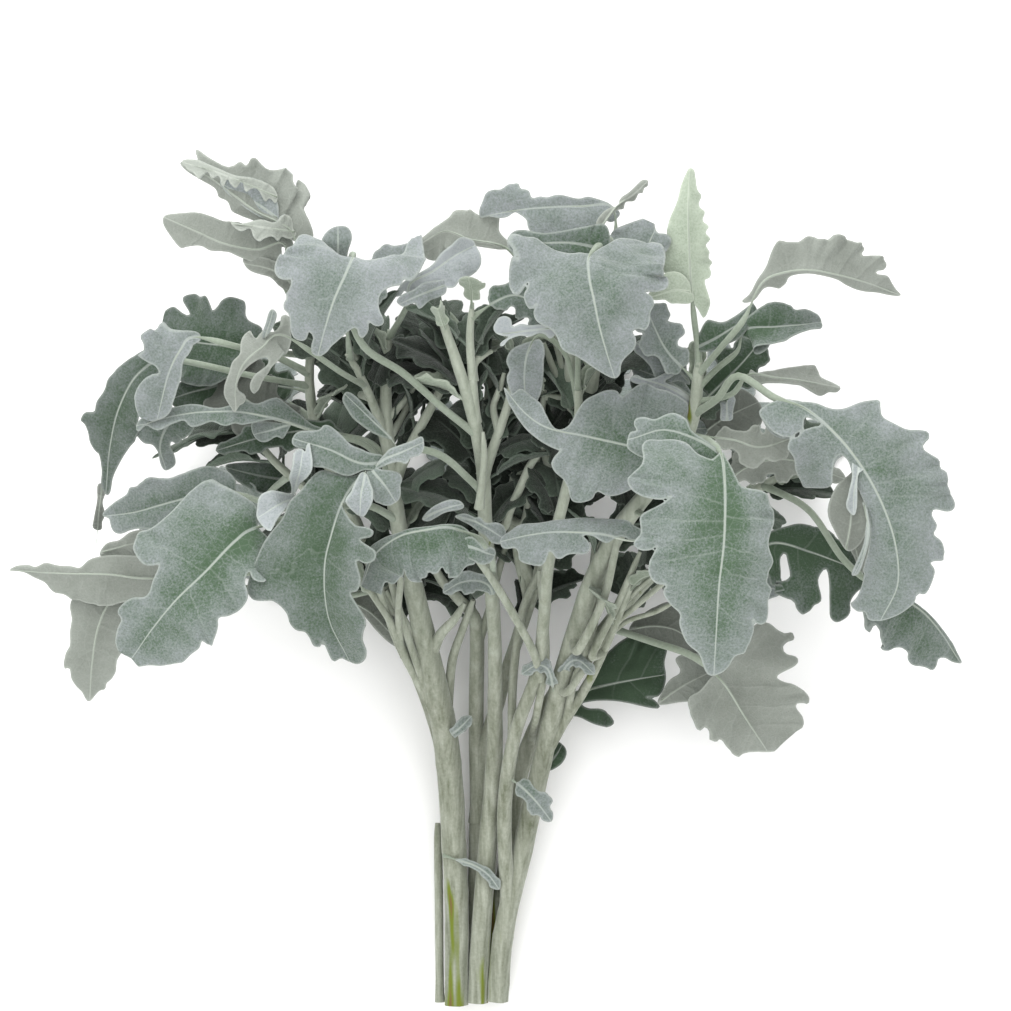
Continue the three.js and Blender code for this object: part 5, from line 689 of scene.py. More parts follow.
class Midrib:
    """A leaf's line, with places along it given as shares of its length."""

    def __init__(self, points):
        self.points, self.ways = knot_line(points, np.linspace(0, 1, 500))
        steps = np.linalg.norm(np.diff(self.points, axis=0), axis=1)
        self.length = float(steps.sum())
        self.shares = np.concatenate([[0], np.cumsum(steps)]) / self.length

    def at(self, share):
        at, way = (np.stack([np.interp(share, self.shares, values[:, i]) for i in range(3)], axis=-1)
                   for values in (self.points, self.ways))
        return at, way / np.linalg.norm(way, axis=-1, keepdims=True)


def point_on_axis(stem, axis, y):
    """The point of a stem's axis at height y, where a leaf's stalk leaves it."""
    low, high = 0.0, 1.0
    for _ in range(30):
        middle = (low + high) / 2
        if knot_line(STEMS[stem][axis], middle)[0][0, 1] < y:
            low = middle
        else:
            high = middle
    return knot_line(STEMS[stem][axis], (low + high) / 2)[0][0, :3]


# ---- the leaf ----


def both(value):
    """A value for the left and one for the right half of a blade, from one given for both or from two."""
    return value if isinstance(value, list) else [value, value]


class Leaf:
    def __init__(self, knots, details, seed):
        given = {**LEAF_DEFAULTS, **details}
        self.seed = seed
        self.half, self.fold, self.curl = (both(given[key]) for key in ("half", "fold", "curl"))
        for key in ("bare", "lobes", "cut", "widest", "wave", "ruffle", "quilt", "light", "green"):
            setattr(self, key, given[key])
        self.face, self.root, self.end = (
            np.array(given.get(key, given["face"]), float) for key in ("face", "root", "end"))
        self.rests = given.get("rests", False)
        self.midrib = Midrib(knots)
        self.length = self.midrib.length
        self.margin = closed_curve(points_of(given["margin"], 2) / 2) if "margin" in given else None
        if self.margin is not None:
            self.half = [max(4.0, -self.margin[:, 1].min()), max(4.0, self.margin[:, 1].max())]
        self.size = 0.65 + 0.35 * min(1, max(self.half) / 25)
        self.base = self.bare * self.length
        self.blade = self.length * (1 - self.bare)
        self.sides = [self.side_veins(i, given.get(key)) for i, key in enumerate(("left", "right"))]

    def envelope(self, u):
        power = math.log(0.5) / math.log(self.widest)
        u = np.clip(u, 0, 1)
        return np.maximum(0, np.sin(math.pi * u**power)) ** 0.7

    def side_veins(self, side, given):
        """Side veins from the blade's base to its tip: x on the midrib, lean forwards, reach, lobe radius."""
        if given:
            return [(x, lean, 0, 0) for x, lean in points_of(given, 2).tolist()]
        rng = np.random.default_rng(self.seed * 2 + side + 11)
        veins = []
        for i in range(self.lobes):
            u = (i + 0.5) / (self.lobes + 0.5)
            tip_lean = 0.3 * smooth(2.5 * u - 0.3)
            lean = -0.5 * (1 - u) ** 3 + 1.6 * u * (1 - u) + tip_lean
            reach = self.half[side] * float(self.envelope(u)) * rng.uniform(0.94, 1.05)
            gap = self.blade / (self.lobes + 0.5) / math.sqrt(1 + lean * lean)
            depth = self.cut[0] + (self.cut[1] - self.cut[0]) * u
            radius = gap * (0.56 - 0.1 * depth) * rng.uniform(0.9, 1.08)
            veins.append((self.base + u * self.blade - tip_lean * reach, lean, reach, radius))
        return veins

    def outline(self, x, y):
        """Distance in mm from the blade's margin to flat points: negative on the blade."""
        if self.margin is not None:
            return distance_to_curve(self.margin, x, y)
        u = (x - self.base) / self.blade
        depth = self.cut[0] + (self.cut[1] - self.cut[0]) * np.clip(u, 0, 1)
        half = np.where(y < 0, self.half[0], self.half[1])
        reach = self.envelope(u) * half * (1 - depth) * 0.97
        d = np.abs(y) - reach + np.maximum(0, np.maximum(-u, u - 1) * self.blade)
        # The end of the midrib runs out in a round lobe of its own, with a tooth on each flank.
        tip = max(2.0, 0.2 * min(self.half) + 0.06 * max(self.half))
        end = rod(x, y, (self.length - 4 * tip, 0), (self.length - tip, 0), tip, tip * 0.9)
        d = smooth_union(d, end, 2.0)
        for turn in (-0.7, 0.7):
            d = smooth_union(d, spot(x, y, self.length - 1.5 * tip, tip * turn, tip * 0.62), 1.0)
        rng = np.random.default_rng(self.seed + 101)
        for sign, veins in zip((-1, 1), self.sides):
            for x0, lean, reach, radius in veins:
                way = np.array([lean, sign]) / math.hypot(lean, 1)
                long = reach * math.hypot(lean, 1)
                radius = min(radius, long * 0.8)
                foot = np.array([x0, 0.0])
                centre = foot + way * max(0.1, long - radius)
                d = smooth_union(d, rod(x, y, foot, centre, radius * 0.72, radius * 0.86), 1.6)
                across = np.array([-way[1], way[0]])
                # Three teeth on the lobe's round end.
                for turn, far in ((-1.05, 0.6), (0.0, 0.62), (1.05, 0.6)):
                    turn = turn + rng.uniform(-0.22, 0.22)
                    size = radius * rng.uniform(0.36, 0.5)
                    tooth = centre + radius * far * (way * math.cos(turn) + across * math.sin(turn))
                    d = smooth_union(d, spot(x, y, tooth[0], tooth[1], size), 0.8)
        return d

    def vein_phase(self, x, y, side):
        """Whole numbers on the side veins, and the gap in mm between the two veins beside each point."""
        away = np.abs(y)
        veins = self.sides[side]
        past = np.array([x - (x0 + lean * away) for x0, lean, _, _ in veins])
        slope = math.hypot(1, float(np.mean([v[1] for v in veins])))
        steps = np.diff([v[0] for v in veins])
        before = np.sum(past >= 0, axis=0) - 1
        last = len(veins) - 1
        low, high = np.clip(before, 0, last), np.clip(before + 1, 0, last)
        here = np.take_along_axis(past, low[None], 0)[0]
        after = np.take_along_axis(past, high[None], 0)[0]
        gap = np.maximum(here - after, 1e-3)
        phase = low + np.where(high > low, here / gap, np.minimum(here / steps[-1], 0.5))
        phase = np.where(before < 0, np.maximum(past[0] / steps[0], -0.5), phase)
        gap = np.where(before < 0, steps[0], np.where(high > low, gap, steps[-1]))
        return phase, gap / slope

    def frame_at(self, x):
        """Places, directions and up of the bent midrib at distances x along it."""
        t = np.clip(x / self.length, 0, 1)
        at, way = self.midrib.at(t)
        at = at + way * (x - t * self.length)[:, None]
        on_stalk = np.clip(t / self.bare, 0, 1)[:, None]
        on_blade = np.clip((t - self.bare) / (1 - self.bare), 0, 1)[:, None]
        look = np.where(
            t[:, None] < self.bare,
            self.root * (1 - on_stalk) + self.face * on_stalk,
            self.face * (1 - on_blade) + self.end * on_blade,
        )
        up = look - way * np.sum(look * way, axis=1)[:, None]
        up /= np.linalg.norm(up, axis=1)[:, None]
        return at, way, up, np.cross(way, up)

    def bend(self, x, y, rim):
        """Where flat points of the blade come to lie: the middle of its thickness, and the way up there."""
        t = np.maximum(x, self.base)
        at, way, up, right = self.frame_at(t)
        at = at + way * (x - t)[:, None]
        u = np.clip((t / self.length - self.bare) / (1 - self.bare), 0, 1)
        place, tilt, out = np.zeros(len(x)), np.zeros(len(x)), np.zeros(len(x))
        ease = smooth(4 * u)
        seed = self.seed * 1.7
        for side, sign in ((0, -1), (1, 1)):
            on = y < 0 if side == 0 else y >= 0
            xs, ys, away = x[on], y[on], np.abs(y[on])
            half = np.full(on.sum(), float(self.half[side]))
            if self.margin is None:
                half = half * np.maximum(self.envelope(u[on]), 0.35)
            share = np.minimum(away / half, 1.25)
            fold = math.radians(self.fold[side]) * ease[on]
            curl = math.radians(self.curl[side]) * ease[on] + 1e-4
            reach = away / np.maximum(share, 1e-6)
            reach = np.where(share < 1e-5, half, reach)
            out[on] = sign * reach * (np.sin(fold + curl * share) - np.sin(fold)) / curl
            rise = reach * (np.cos(fold) - np.cos(fold + curl * share)) / curl
            phase, _ = self.vein_phase(xs, ys, side)
            lobe = np.floor(phase + 0.5)
            in_lobe = phase + 0.5 - lobe
            lift = self.wave * np.sin(seed + lobe * 2.4 + side * 1.3) * np.sin(math.pi * in_lobe) ** 2
            frill = self.ruffle * np.sin(2 * math.pi * (phase * 1.5 + 0.31 * self.seed + 0.4 * side)
                                         + 1.1 * np.sin(phase * 2.3 + seed))
            frill = frill + 0.5 * self.ruffle * np.sin(2 * math.pi * phase * 2.7 + seed * 3.1)
            pucker = self.quilt * np.sin(math.pi * phase) ** 2 * smooth(share * 3) * (1 - 0.5 * smooth(share))
            groove = -0.5 * self.size * np.exp(-((away / 2.2) ** 2))
            width = np.minimum(1, self.half[side] / 20)
            swell = (np.sin(xs / 6.1 + seed) * np.sin(away / 5.3 + 1.3 * np.sin(xs / 9 - seed))
                     * smooth(away / 8))
            lap = (np.sin(xs / 2.4 + 1.4 * np.sin(ys / 3.1 + seed))
                   + np.sin(ys / 2.2 + 1.4 * np.sin(xs / 3.7 - seed)))
            lap = 0.3 * self.ruffle * np.exp(-rim[on] / 3.5) * lap
            relief = smooth(share) ** 2 * frill + 0.6 * pucker + 2.4 * self.quilt * swell
            place[on] = rise + share**2 * lift + width * relief + lap + groove
            tilt[on] = sign * (fold + curl * share)
        middle = at + right * out[:, None] + up * place[:, None]
        normal = up * np.cos(tilt)[:, None] - right * np.sin(tilt)[:, None]
        return middle, normal


def smooth_union(a, b, blend):
    h = np.clip(0.5 + 0.5 * (b - a) / blend, 0, 1)
    return b * (1 - h) + a * h - blend * h * (1 - h)


def closed_curve(p):
    """A rounded closed curve through the points."""
    knots = [np.roll(p, shift, axis=0) for shift in (1, 0, -1, -2)]
    rows = [between_knots(*knots, w)[0] for w in (0.0, 0.25, 0.5, 0.75)]
    return np.stack(rows, axis=1).reshape(-1, 2)


def distance_to_curve(curve, x, y):
    """Distance from points to a closed curve: negative inside."""
    px, py = x.ravel(), y.ravel()
    best = np.full(len(px), 1e9)
    inside = np.zeros(len(px), bool)
    for a, b in zip(curve, np.roll(curve, -1, axis=0)):
        ab = b - a
        h = np.clip(((px - a[0]) * ab[0] + (py - a[1]) * ab[1]) / max(ab @ ab, 1e-9), 0, 1)
        best = np.minimum(best, (px - a[0] - h * ab[0]) ** 2 + (py - a[1] - h * ab[1]) ** 2)
        over = (a[1] > py) != (b[1] > py)
        if over.any():
            inside ^= over & (px < (b[0] - a[0]) * (py - a[1]) / (b[1] - a[1] + 1e-12) + a[0])
    return (np.sqrt(best) * np.where(inside, -1, 1)).reshape(x.shape)


def rod(x, y, a, b, start, end):
    """Distance to a rod from a to b, round at its ends."""
    ab = np.array(b, float) - np.array(a, float)
    h = np.clip(((x - a[0]) * ab[0] + (y - a[1]) * ab[1]) / max(ab @ ab, 1e-9), 0, 1)
    return np.hypot(x - a[0] - h * ab[0], y - a[1] - h * ab[1]) - (start + (end - start) * h)


def spot(x, y, cx, cy, radius):
    return np.hypot(x - cx, y - cy) - radius


def flat_blade(leaf, step):
    """Cuts a blade's outline out of a square net: points x, y and distance to the margin, faces, edge."""
    wide = 3 + max(leaf.half) * 1.25
    rows = int(math.ceil(wide / step))
    start = leaf.base - max(leaf.half) * 0.8
    if leaf.margin is not None:
        start = leaf.margin[:, 0].min() - 2
    columns = int(math.ceil((leaf.length + 3 - start) / step))
    gx, gy = np.meshgrid(
        start + step * np.arange(columns + 1), step * np.arange(-rows, rows + 1), indexing="ij")
    d = leaf.outline(gx, gy)
    inside = d < 0
    number = -np.ones(inside.shape, int)
    number[inside] = np.arange(inside.sum())
    points = [np.stack([gx[inside], gy[inside], -d[inside]], axis=1)]
    count = int(inside.sum())
    cross = {}
    for axis in (0, 1):
        near, far = (inside[:-1], inside[1:]) if axis == 0 else (inside[:, :-1], inside[:, 1:])
        i, j = np.nonzero(near != far)
        i2, j2 = (i + 1, j) if axis == 0 else (i, j + 1)
        w = np.clip(d[i, j] / (d[i, j] - d[i2, j2]), 0.06, 0.94)
        x = gx[i, j] + (gx[i2, j2] - gx[i, j]) * w
        y = gy[i, j] + (gy[i2, j2] - gy[i, j]) * w
        points.append(np.stack([x, y, np.zeros(len(x))], axis=1))
        cross.update({(axis, *at): count + k for k, at in enumerate(zip(i.tolist(), j.tolist()))})
        count += len(i)
    corners_in = [inside[:-1, :-1], inside[1:, :-1], inside[1:, 1:], inside[:-1, 1:]]
    whole = np.logical_and.reduce(corners_in)
    i, j = np.nonzero(whole)
    around = [number[i, j], number[i + 1, j], number[i + 1, j + 1], number[i, j + 1]]
    faces = np.stack(around, axis=1).tolist()
    edge = []
    i, j = np.nonzero(np.logical_or.reduce(corners_in) & ~whole)
    for i, j in zip(i.tolist(), j.tolist()):
        corners = [(i, j), (i + 1, j), (i + 1, j + 1), (i, j + 1)]
        between = [(0, i, j), (1, i + 1, j), (0, i, j + 1), (1, i, j)]
        ring, cuts = [], []
        for k in range(4):
            here, there = inside[corners[k]], inside[corners[(k + 1) % 4]]
            if here:
                ring.append(int(number[corners[k]]))
            if here != there:
                cuts.append((len(ring), bool(here)))
                ring.append(cross[between[k]])
        for place, leaving in cuts:
            if leaving:
                edge.append((ring[place], ring[(place + 1) % len(ring)]))
        faces.append(ring)
    return np.vstack(points), faces, edge


def blade_mesh(leaf, step):
    """Both skins and the margin of a blade: vertices, faces, face kinds (0 upper, 1 under) and attributes."""
    points, faces, edge = flat_blade(leaf, step)
    x, y, rim = points.T
    middle, normal = leaf.bend(x, y, rim)
    thick = BLADE_THICKNESS / 2 * (0.4 + 0.6 * smooth(rim / 1.1))
    if leaf.rests:
        middle[:, 2] = np.maximum(middle[:, 2], thick + LOWEST)
        normal[middle[:, 2] < 1.0] = (0, 0, 1)
    n = len(points)
    vertices = np.vstack([middle + normal * thick[:, None], middle - normal * thick[:, None]])
    vertices[:, 2] = np.maximum(vertices[:, 2], LOWEST)
    skin = [f[::-1] for f in faces] + [[k + n for k in f] for f in faces]
    skin += [[a, b, b + n, a + n] for a, b in edge]
    kinds = [0] * len(faces) + [1] * len(faces) + [0] * len(edge)
    left, left_gap = leaf.vein_phase(x, y, 0)
    right, right_gap = leaf.vein_phase(x, y, 1)
    u = (x - leaf.base) / (leaf.length - leaf.base)
    gap = np.where(y < 0, left_gap, right_gap)
    sets = [(x, y, rim), (left, right, u), (np.full(n, leaf.light), np.full(n, leaf.green), gap)]
    return vertices, skin, kinds, [np.tile(np.stack(values, axis=1), (2, 1)) for values in sets]


def stalk_mesh(leaf, sides, rings, girth=1.0):
    """The stalk, which runs on under the blade as its midrib and stands a hair above it."""
    t = np.linspace(0, 0.985, rings)
    x = t * leaf.length
    at, _, up, right = leaf.frame_at(x)
    u = np.clip((t - leaf.bare) / (1 - leaf.bare), 0, 1)
    under = smooth((x - leaf.base + 10) / 12)
    neck = np.exp(-(((x - leaf.base) / 6) ** 2))
    stalk = (girth * STALK_RADIUS * leaf.size * (1 - 0.8 * u) * (1 - 0.66 * under)
             * (1 + 0.5 * np.exp(-x / 3.5)) * (1 - 0.25 * neck))
    high = stalk * (1 - under) + (0.45 + 0.5 * leaf.size * (1 - u)) * under
    shift = -(high - 0.5) * under - 0.5 * leaf.size * under
    turn = 2 * math.pi * np.arange(sides) / sides
    ring = (
        at[:, None]
        + right[:, None] * (stalk[:, None] * np.cos(turn))[..., None]
        + up[:, None] * (shift[:, None] + high[:, None] * np.sin(turn))[..., None]
    ).reshape(-1, 3)
    faces = []
    for i in range(rings - 1):
        for j in range(sides):
            a, b = i * sides + j, i * sides + (j + 1) % sides
            faces.append([a, b, b + sides, a + sides])
    faces.append(list(range(sides))[::-1])
    faces.append([(rings - 1) * sides + j for j in range(sides)])
    n = len(ring)
    # The stalk lies 9 mm inside the margin and far from any side vein, as the skins read it.
    inside, between = np.full(n, 9.0), np.full(n, 0.5)
    sets = [(np.repeat(x, sides), np.tile(np.sin(turn), rings), inside),
            (between, between, np.repeat(u, sides)),
            (np.full(n, leaf.light), np.full(n, leaf.green), inside)]
    return ring, faces, [2] * len(faces), [np.stack(values, axis=1) for values in sets]


def joined(parts):
    vertices, faces, kinds, sets = [], [], [], [[], [], []]
    count = 0
    for v, f, k, attributes in parts:
        vertices.append(v)
        faces += [[i + count for i in ring] for ring in f]
        kinds += k
        for kept, new in zip(sets, attributes):
            kept.append(new)
        count += len(v)
    return np.vstack(vertices), faces, kinds, [np.vstack(s) for s in sets]


# What every leaf's vertices carry. flat: x, y and the distance to the margin. veins: the left and the right
# phase, and the share along the blade. tone: light, green and the gap between side veins.
ATTRIBUTES = ("flat", "veins", "tone")


def linked(name, data):
    piece = bpy.data.objects.new(name, data)
    scene.collection.objects.link(piece)
    return piece


def mesh_object(name, vertices, faces, kinds, attributes, materials):
    """An object of the vertices, given in the tables' millimetres, in the model's metres."""
    mesh = bpy.data.meshes.new(name)
    mesh.from_pydata(((vertices + ORIGIN_SHIFT) * MM).tolist(), [], faces)
    for material in materials:
        mesh.materials.append(material)
    mesh.polygons.foreach_set("material_index", kinds)
    mesh.polygons.foreach_set("use_smooth", [True] * len(faces))
    for key, values in zip(ATTRIBUTES, attributes):
        set_attribute(mesh, key, "FLOAT_VECTOR", values)
    mesh.update()
    return linked(name, mesh)


def set_attribute(mesh, key, kind, values):
    field = "vector" if kind == "FLOAT_VECTOR" else "value"
    values = np.array(values, np.int32 if kind == "INT" else np.float32).ravel()
    mesh.attributes.new(key, kind, "POINT").data.foreach_set(field, values)


def finished(piece, node):
    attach(piece, "root")
    if node:
        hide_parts(node)
    return piece


# ---- nodes ----


def add(tree, kind, inputs=None, **settings):
    """Adds a node with its settings. An input is given a value, the socket that feeds it, or the node whose
    first output does."""
    node = tree.nodes.new(kind)
    for key, value in settings.items():
        setattr(node, key, value)
    for key, value in (inputs or {}).items():
        if isinstance(value, bpy.types.Node):
            value = value.outputs[0]
        if isinstance(value, bpy.types.NodeSocket):
            tree.links.new(value, node.inputs[key])
        else:
            node.inputs[key].default_value = value
    return node


def linear(code):
    """An sRGB hex colour as the linear one that the shaders take."""
    parts = [int(code[i : i + 2], 16) / 255 for i in (1, 3, 5)]
    return [c / 12.92 if c < 0.04045 else ((c + 0.055) / 1.055) ** 2.4 for c in parts] + [1.0]


def new_material(name, roughness, sheen):
    """A material with its surface shader and output. Returns the material, its tree and the shader."""
    material = bpy.data.materials.new(name)
    material.use_nodes = True
    tree = material.node_tree
    tree.nodes.clear()
    shader = add(tree, "ShaderNodeBsdfPrincipled", {
        "Roughness": roughness, "Specular IOR Level": 0.2, "IOR": 1.45,
        "Sheen Weight": sheen, "Sheen Roughness": 0.45, "Sheen Tint": linear("#e9efe9")})
    add(tree, "ShaderNodeOutputMaterial", {"Surface": shader})
    return material, tree, shader


def felted_blade(name, shade, felt, vein, upper):
    """Leaf blade under a felt of white hairs: the green shows where the felt is thin, beside the midrib and
    between the veins. The veins carry the thickest felt, so they are palest. The pale line round the margin
    is partly the thicker felt there and partly painted sheen, of felt seen edge-on. The light value scales
    the whole colour: partly the felt's own tone, partly painted light and shade."""
    material, tree, shader = new_material(name, 0.92, 0.35)
    flat, veins, tone = (
        add(tree, "ShaderNodeSeparateXYZ", {
            0: add(tree, "ShaderNodeAttribute", attribute_name=key).outputs["Vector"]}).outputs
        for key in ATTRIBUTES)
    place = add(tree, "ShaderNodeTexCoord").outputs["Object"]
    # The veins, in millimetres on the flat blade. A slow noise lets the side veins stray.
    across = add(tree, "ShaderNodeMath", {0: flat["Y"]}, operation="ABSOLUTE")
    on_right = add(tree, "ShaderNodeMath", {0: flat["Y"], 1: 0.0}, operation="GREATER_THAN")
    phase = add(tree, "ShaderNodeMix", {0: on_right, 2: veins["X"], 3: veins["Y"]})
    stray = add(tree, "ShaderNodeTexNoise", {"Vector": place, "Scale": 110.0, "Detail": 2.0})
    phase = add(tree, "ShaderNodeMath", {0: stray, 1: 0.36, 2: phase}, operation="MULTIPLY_ADD")
    phase = add(tree, "ShaderNodeMath", {0: phase, 1: -0.18}, operation="ADD")
    off_vein = add(tree, "ShaderNodeMath", {0: phase, 1: 0.5}, operation="PINGPONG")
    off_vein = add(tree, "ShaderNodeMath", {0: off_vein, 1: tone["Z"]}, operation="MULTIPLY")
    middle_width = add(tree, "ShaderNodeMapRange", {"Value": veins["Z"], "To Min": 0.85, "To Max": 0.28})
    off_middle = add(tree, "ShaderNodeMath", {0: across, 1: middle_width}, operation="DIVIDE")
    # Small veins: a net with meshes about 3.5 mm wide.
    on_blade = add(tree, "ShaderNodeCombineXYZ", {0: flat["X"], 1: flat["Y"]})
    off_net = add(tree, "ShaderNodeTexVoronoi", {"Vector": on_blade, "Scale": 0.28, "Randomness": 0.9},
                  feature="DISTANCE_TO_EDGE", voronoi_dimensions="2D").outputs["Distance"]
    # The margin line is partly thicker felt and partly painted sheen, of felt seen edge-on.
    side_line, middle_line, rim_felt_and_painted_sheen, net, beside_midrib, soft_line = (
        add(tree, "ShaderNodeMapRange", {
            "Value": value, "From Min": near, "From Max": far, "To Min": 1.0, "To Max": 0.0},
            interpolation_type="SMOOTHSTEP")
        for value, near, far in (
            (off_vein, 0.15, 0.6), (off_middle, 0.45, 1.0), (flat["Z"], 0.25, 1.0),
            (off_net, 0.0, 0.09), (across, 1.0, 14.0), (off_vein, 0.0, 1.6)))
    fade, inward, towards_base, net_share, felt_tone_and_painted_light = (
        add(tree, "ShaderNodeMapRange", {
            "Value": value, "From Min": near, "From Max": far, "To Min": low, "To Max": high})
        for value, near, far, low, high in (
            (flat["Z"], 1.0, 8.0, 0.25, 1.0), (flat["Z"], 0.0, 12.0, 0.14, -0.14),
            (veins["Z"], 0.05, 0.8, 1.0, 0.0), (tone["X"], 0.0, 0.5, 0.02, 0.12),
            (tone["X"], 0.0, 1.0, 0.6, 1.4)))
    side_line = add(tree, "ShaderNodeMath", {0: side_line, 1: fade}, operation="MULTIPLY")
    # Felt: tufts about 1 mm across, coarser than the real 0.3 mm ones so that they show, in 12 mm patches.
    tufts = add(tree, "ShaderNodeTexNoise", {
        "Vector": place, "Scale": 1200.0, "Detail": 4.0, "Roughness": 0.7})
    patches = add(tree, "ShaderNodeTexNoise", {
        "Vector": place, "Scale": 90.0, "Detail": 3.0, "Roughness": 0.55})
    tuft_share = 0.28 if upper else 0.16
    density = add(tree, "ShaderNodeMapRange", {
        "Value": tufts, "From Min": 0.33, "From Max": 0.67,
        "To Min": -tuft_share, "To Max": tuft_share}, clamp=False)
    density = add(tree, "ShaderNodeMath", {0: patches, 1: 0.8, 2: density}, operation="MULTIPLY_ADD")
    density = add(tree, "ShaderNodeMath", {0: tone["X"], 1: density}, operation="ADD")
    density = add(tree, "ShaderNodeMath", {0: density, 1: inward}, operation="ADD")
    thin = add(tree, "ShaderNodeMath", {0: beside_midrib, 1: towards_base}, operation="MULTIPLY")
    thin = add(tree, "ShaderNodeMath", {0: thin, 1: 0.36, 2: 0.26}, operation="MULTIPLY_ADD")
    thin = add(tree, "ShaderNodeMath", {0: thin, 1: tone["Y"]}, operation="MULTIPLY")
    density = add(tree, "ShaderNodeMath", {0: density, 1: thin}, operation="SUBTRACT")
    density = add(tree, "ShaderNodeMath", {0: density, 1: -0.2}, operation="ADD", use_clamp=True)
    colour = add(tree, "ShaderNodeMix", {
        0: density, 6: linear(shade), 7: linear(felt)}, data_type="RGBA").outputs[2]
    side_share = add(tree, "ShaderNodeMath", {0: tone["Y"], 1: 0.06, 2: 0.09}, operation="MULTIPLY_ADD")
    for mask, weight in ((net, net_share), (side_line, side_share), (rim_felt_and_painted_sheen, 0.5), (middle_line, 0.7)):
        share = add(tree, "ShaderNodeMath", {0: mask, 1: weight}, operation="MULTIPLY")
        colour = add(tree, "ShaderNodeMix", {
            0: share, 6: colour, 7: linear(vein)}, data_type="RGBA").outputs[2]
    # Painted light and shade: the light value scales the whole colour, darker on leaves that lie in shade and
    # lighter on lit ones, over the felt's own tone.
    colour = add(tree, "ShaderNodeVectorMath", {0: colour, 3: felt_tone_and_painted_light}, operation="SCALE").outputs[0]
    tree.links.new(colour, shader.inputs["Base Color"])
    # Relief in mm: veins sunk on the upper side and raised on the under side, tufts everywhere.
    vein_height, net_height = (-0.15, -0.05) if upper else (0.4, 0.12)
    height = add(tree, "ShaderNodeMath", {0: soft_line, 1: vein_height}, operation="MULTIPLY")
    height = add(tree, "ShaderNodeMath", {0: net, 1: net_height, 2: height}, operation="MULTIPLY_ADD")
    height = add(tree, "ShaderNodeMath", {0: tufts, 1: 0.55, 2: height}, operation="MULTIPLY_ADD")
    bump = add(tree, "ShaderNodeBump", {"Strength": 0.7, "Distance": MM, "Height": height})
    tree.links.new(bump.outputs[0], shader.inputs["Normal"])
    return material


def felted_stalk(name, shade, felt):
    """Leaf stalk and midrib: a close white felt on pale green. The midrib on the blade is whiter."""
    material, tree, shader = new_material(name, 0.9, 0.35)
    place = add(tree, "ShaderNodeTexCoord").outputs["Object"]
    tufts = add(tree, "ShaderNodeTexNoise", {
        "Vector": place, "Scale": 800.0, "Detail": 4.0, "Roughness": 0.7})
    patches = add(tree, "ShaderNodeTexNoise", {"Vector": place, "Scale": 60.0, "Detail": 2.0})
    density = add(tree, "ShaderNodeMath", {0: tufts, 1: 0.7}, operation="MULTIPLY")
    density = add(tree, "ShaderNodeMath", {0: patches, 1: 0.8, 2: density}, operation="MULTIPLY_ADD")
    density = add(tree, "ShaderNodeMath", {0: density, 1: -0.25}, operation="ADD", use_clamp=True)
    colour = add(tree, "ShaderNodeMix", {
        0: density, 6: linear(shade), 7: linear(felt)}, data_type="RGBA").outputs[2]
    along = add(tree, "ShaderNodeSeparateXYZ", {
        0: add(tree, "ShaderNodeAttribute", attribute_name="veins").outputs["Vector"]}).outputs["Z"]
    rib = add(tree, "ShaderNodeMapRange", {"Value": along, "From Max": 0.12, "To Max": 0.6})
    colour = add(tree, "ShaderNodeMix", {
        0: rib, 6: colour, 7: linear("#a9b0a6")}, data_type="RGBA").outputs[2]
    tree.links.new(colour, shader.inputs["Base Color"])
    bump = add(tree, "ShaderNodeBump", {"Strength": 0.6, "Distance": 0.4 * MM, "Height": tufts})
    tree.links.new(bump.outputs[0], shader.inputs["Normal"])
    return material


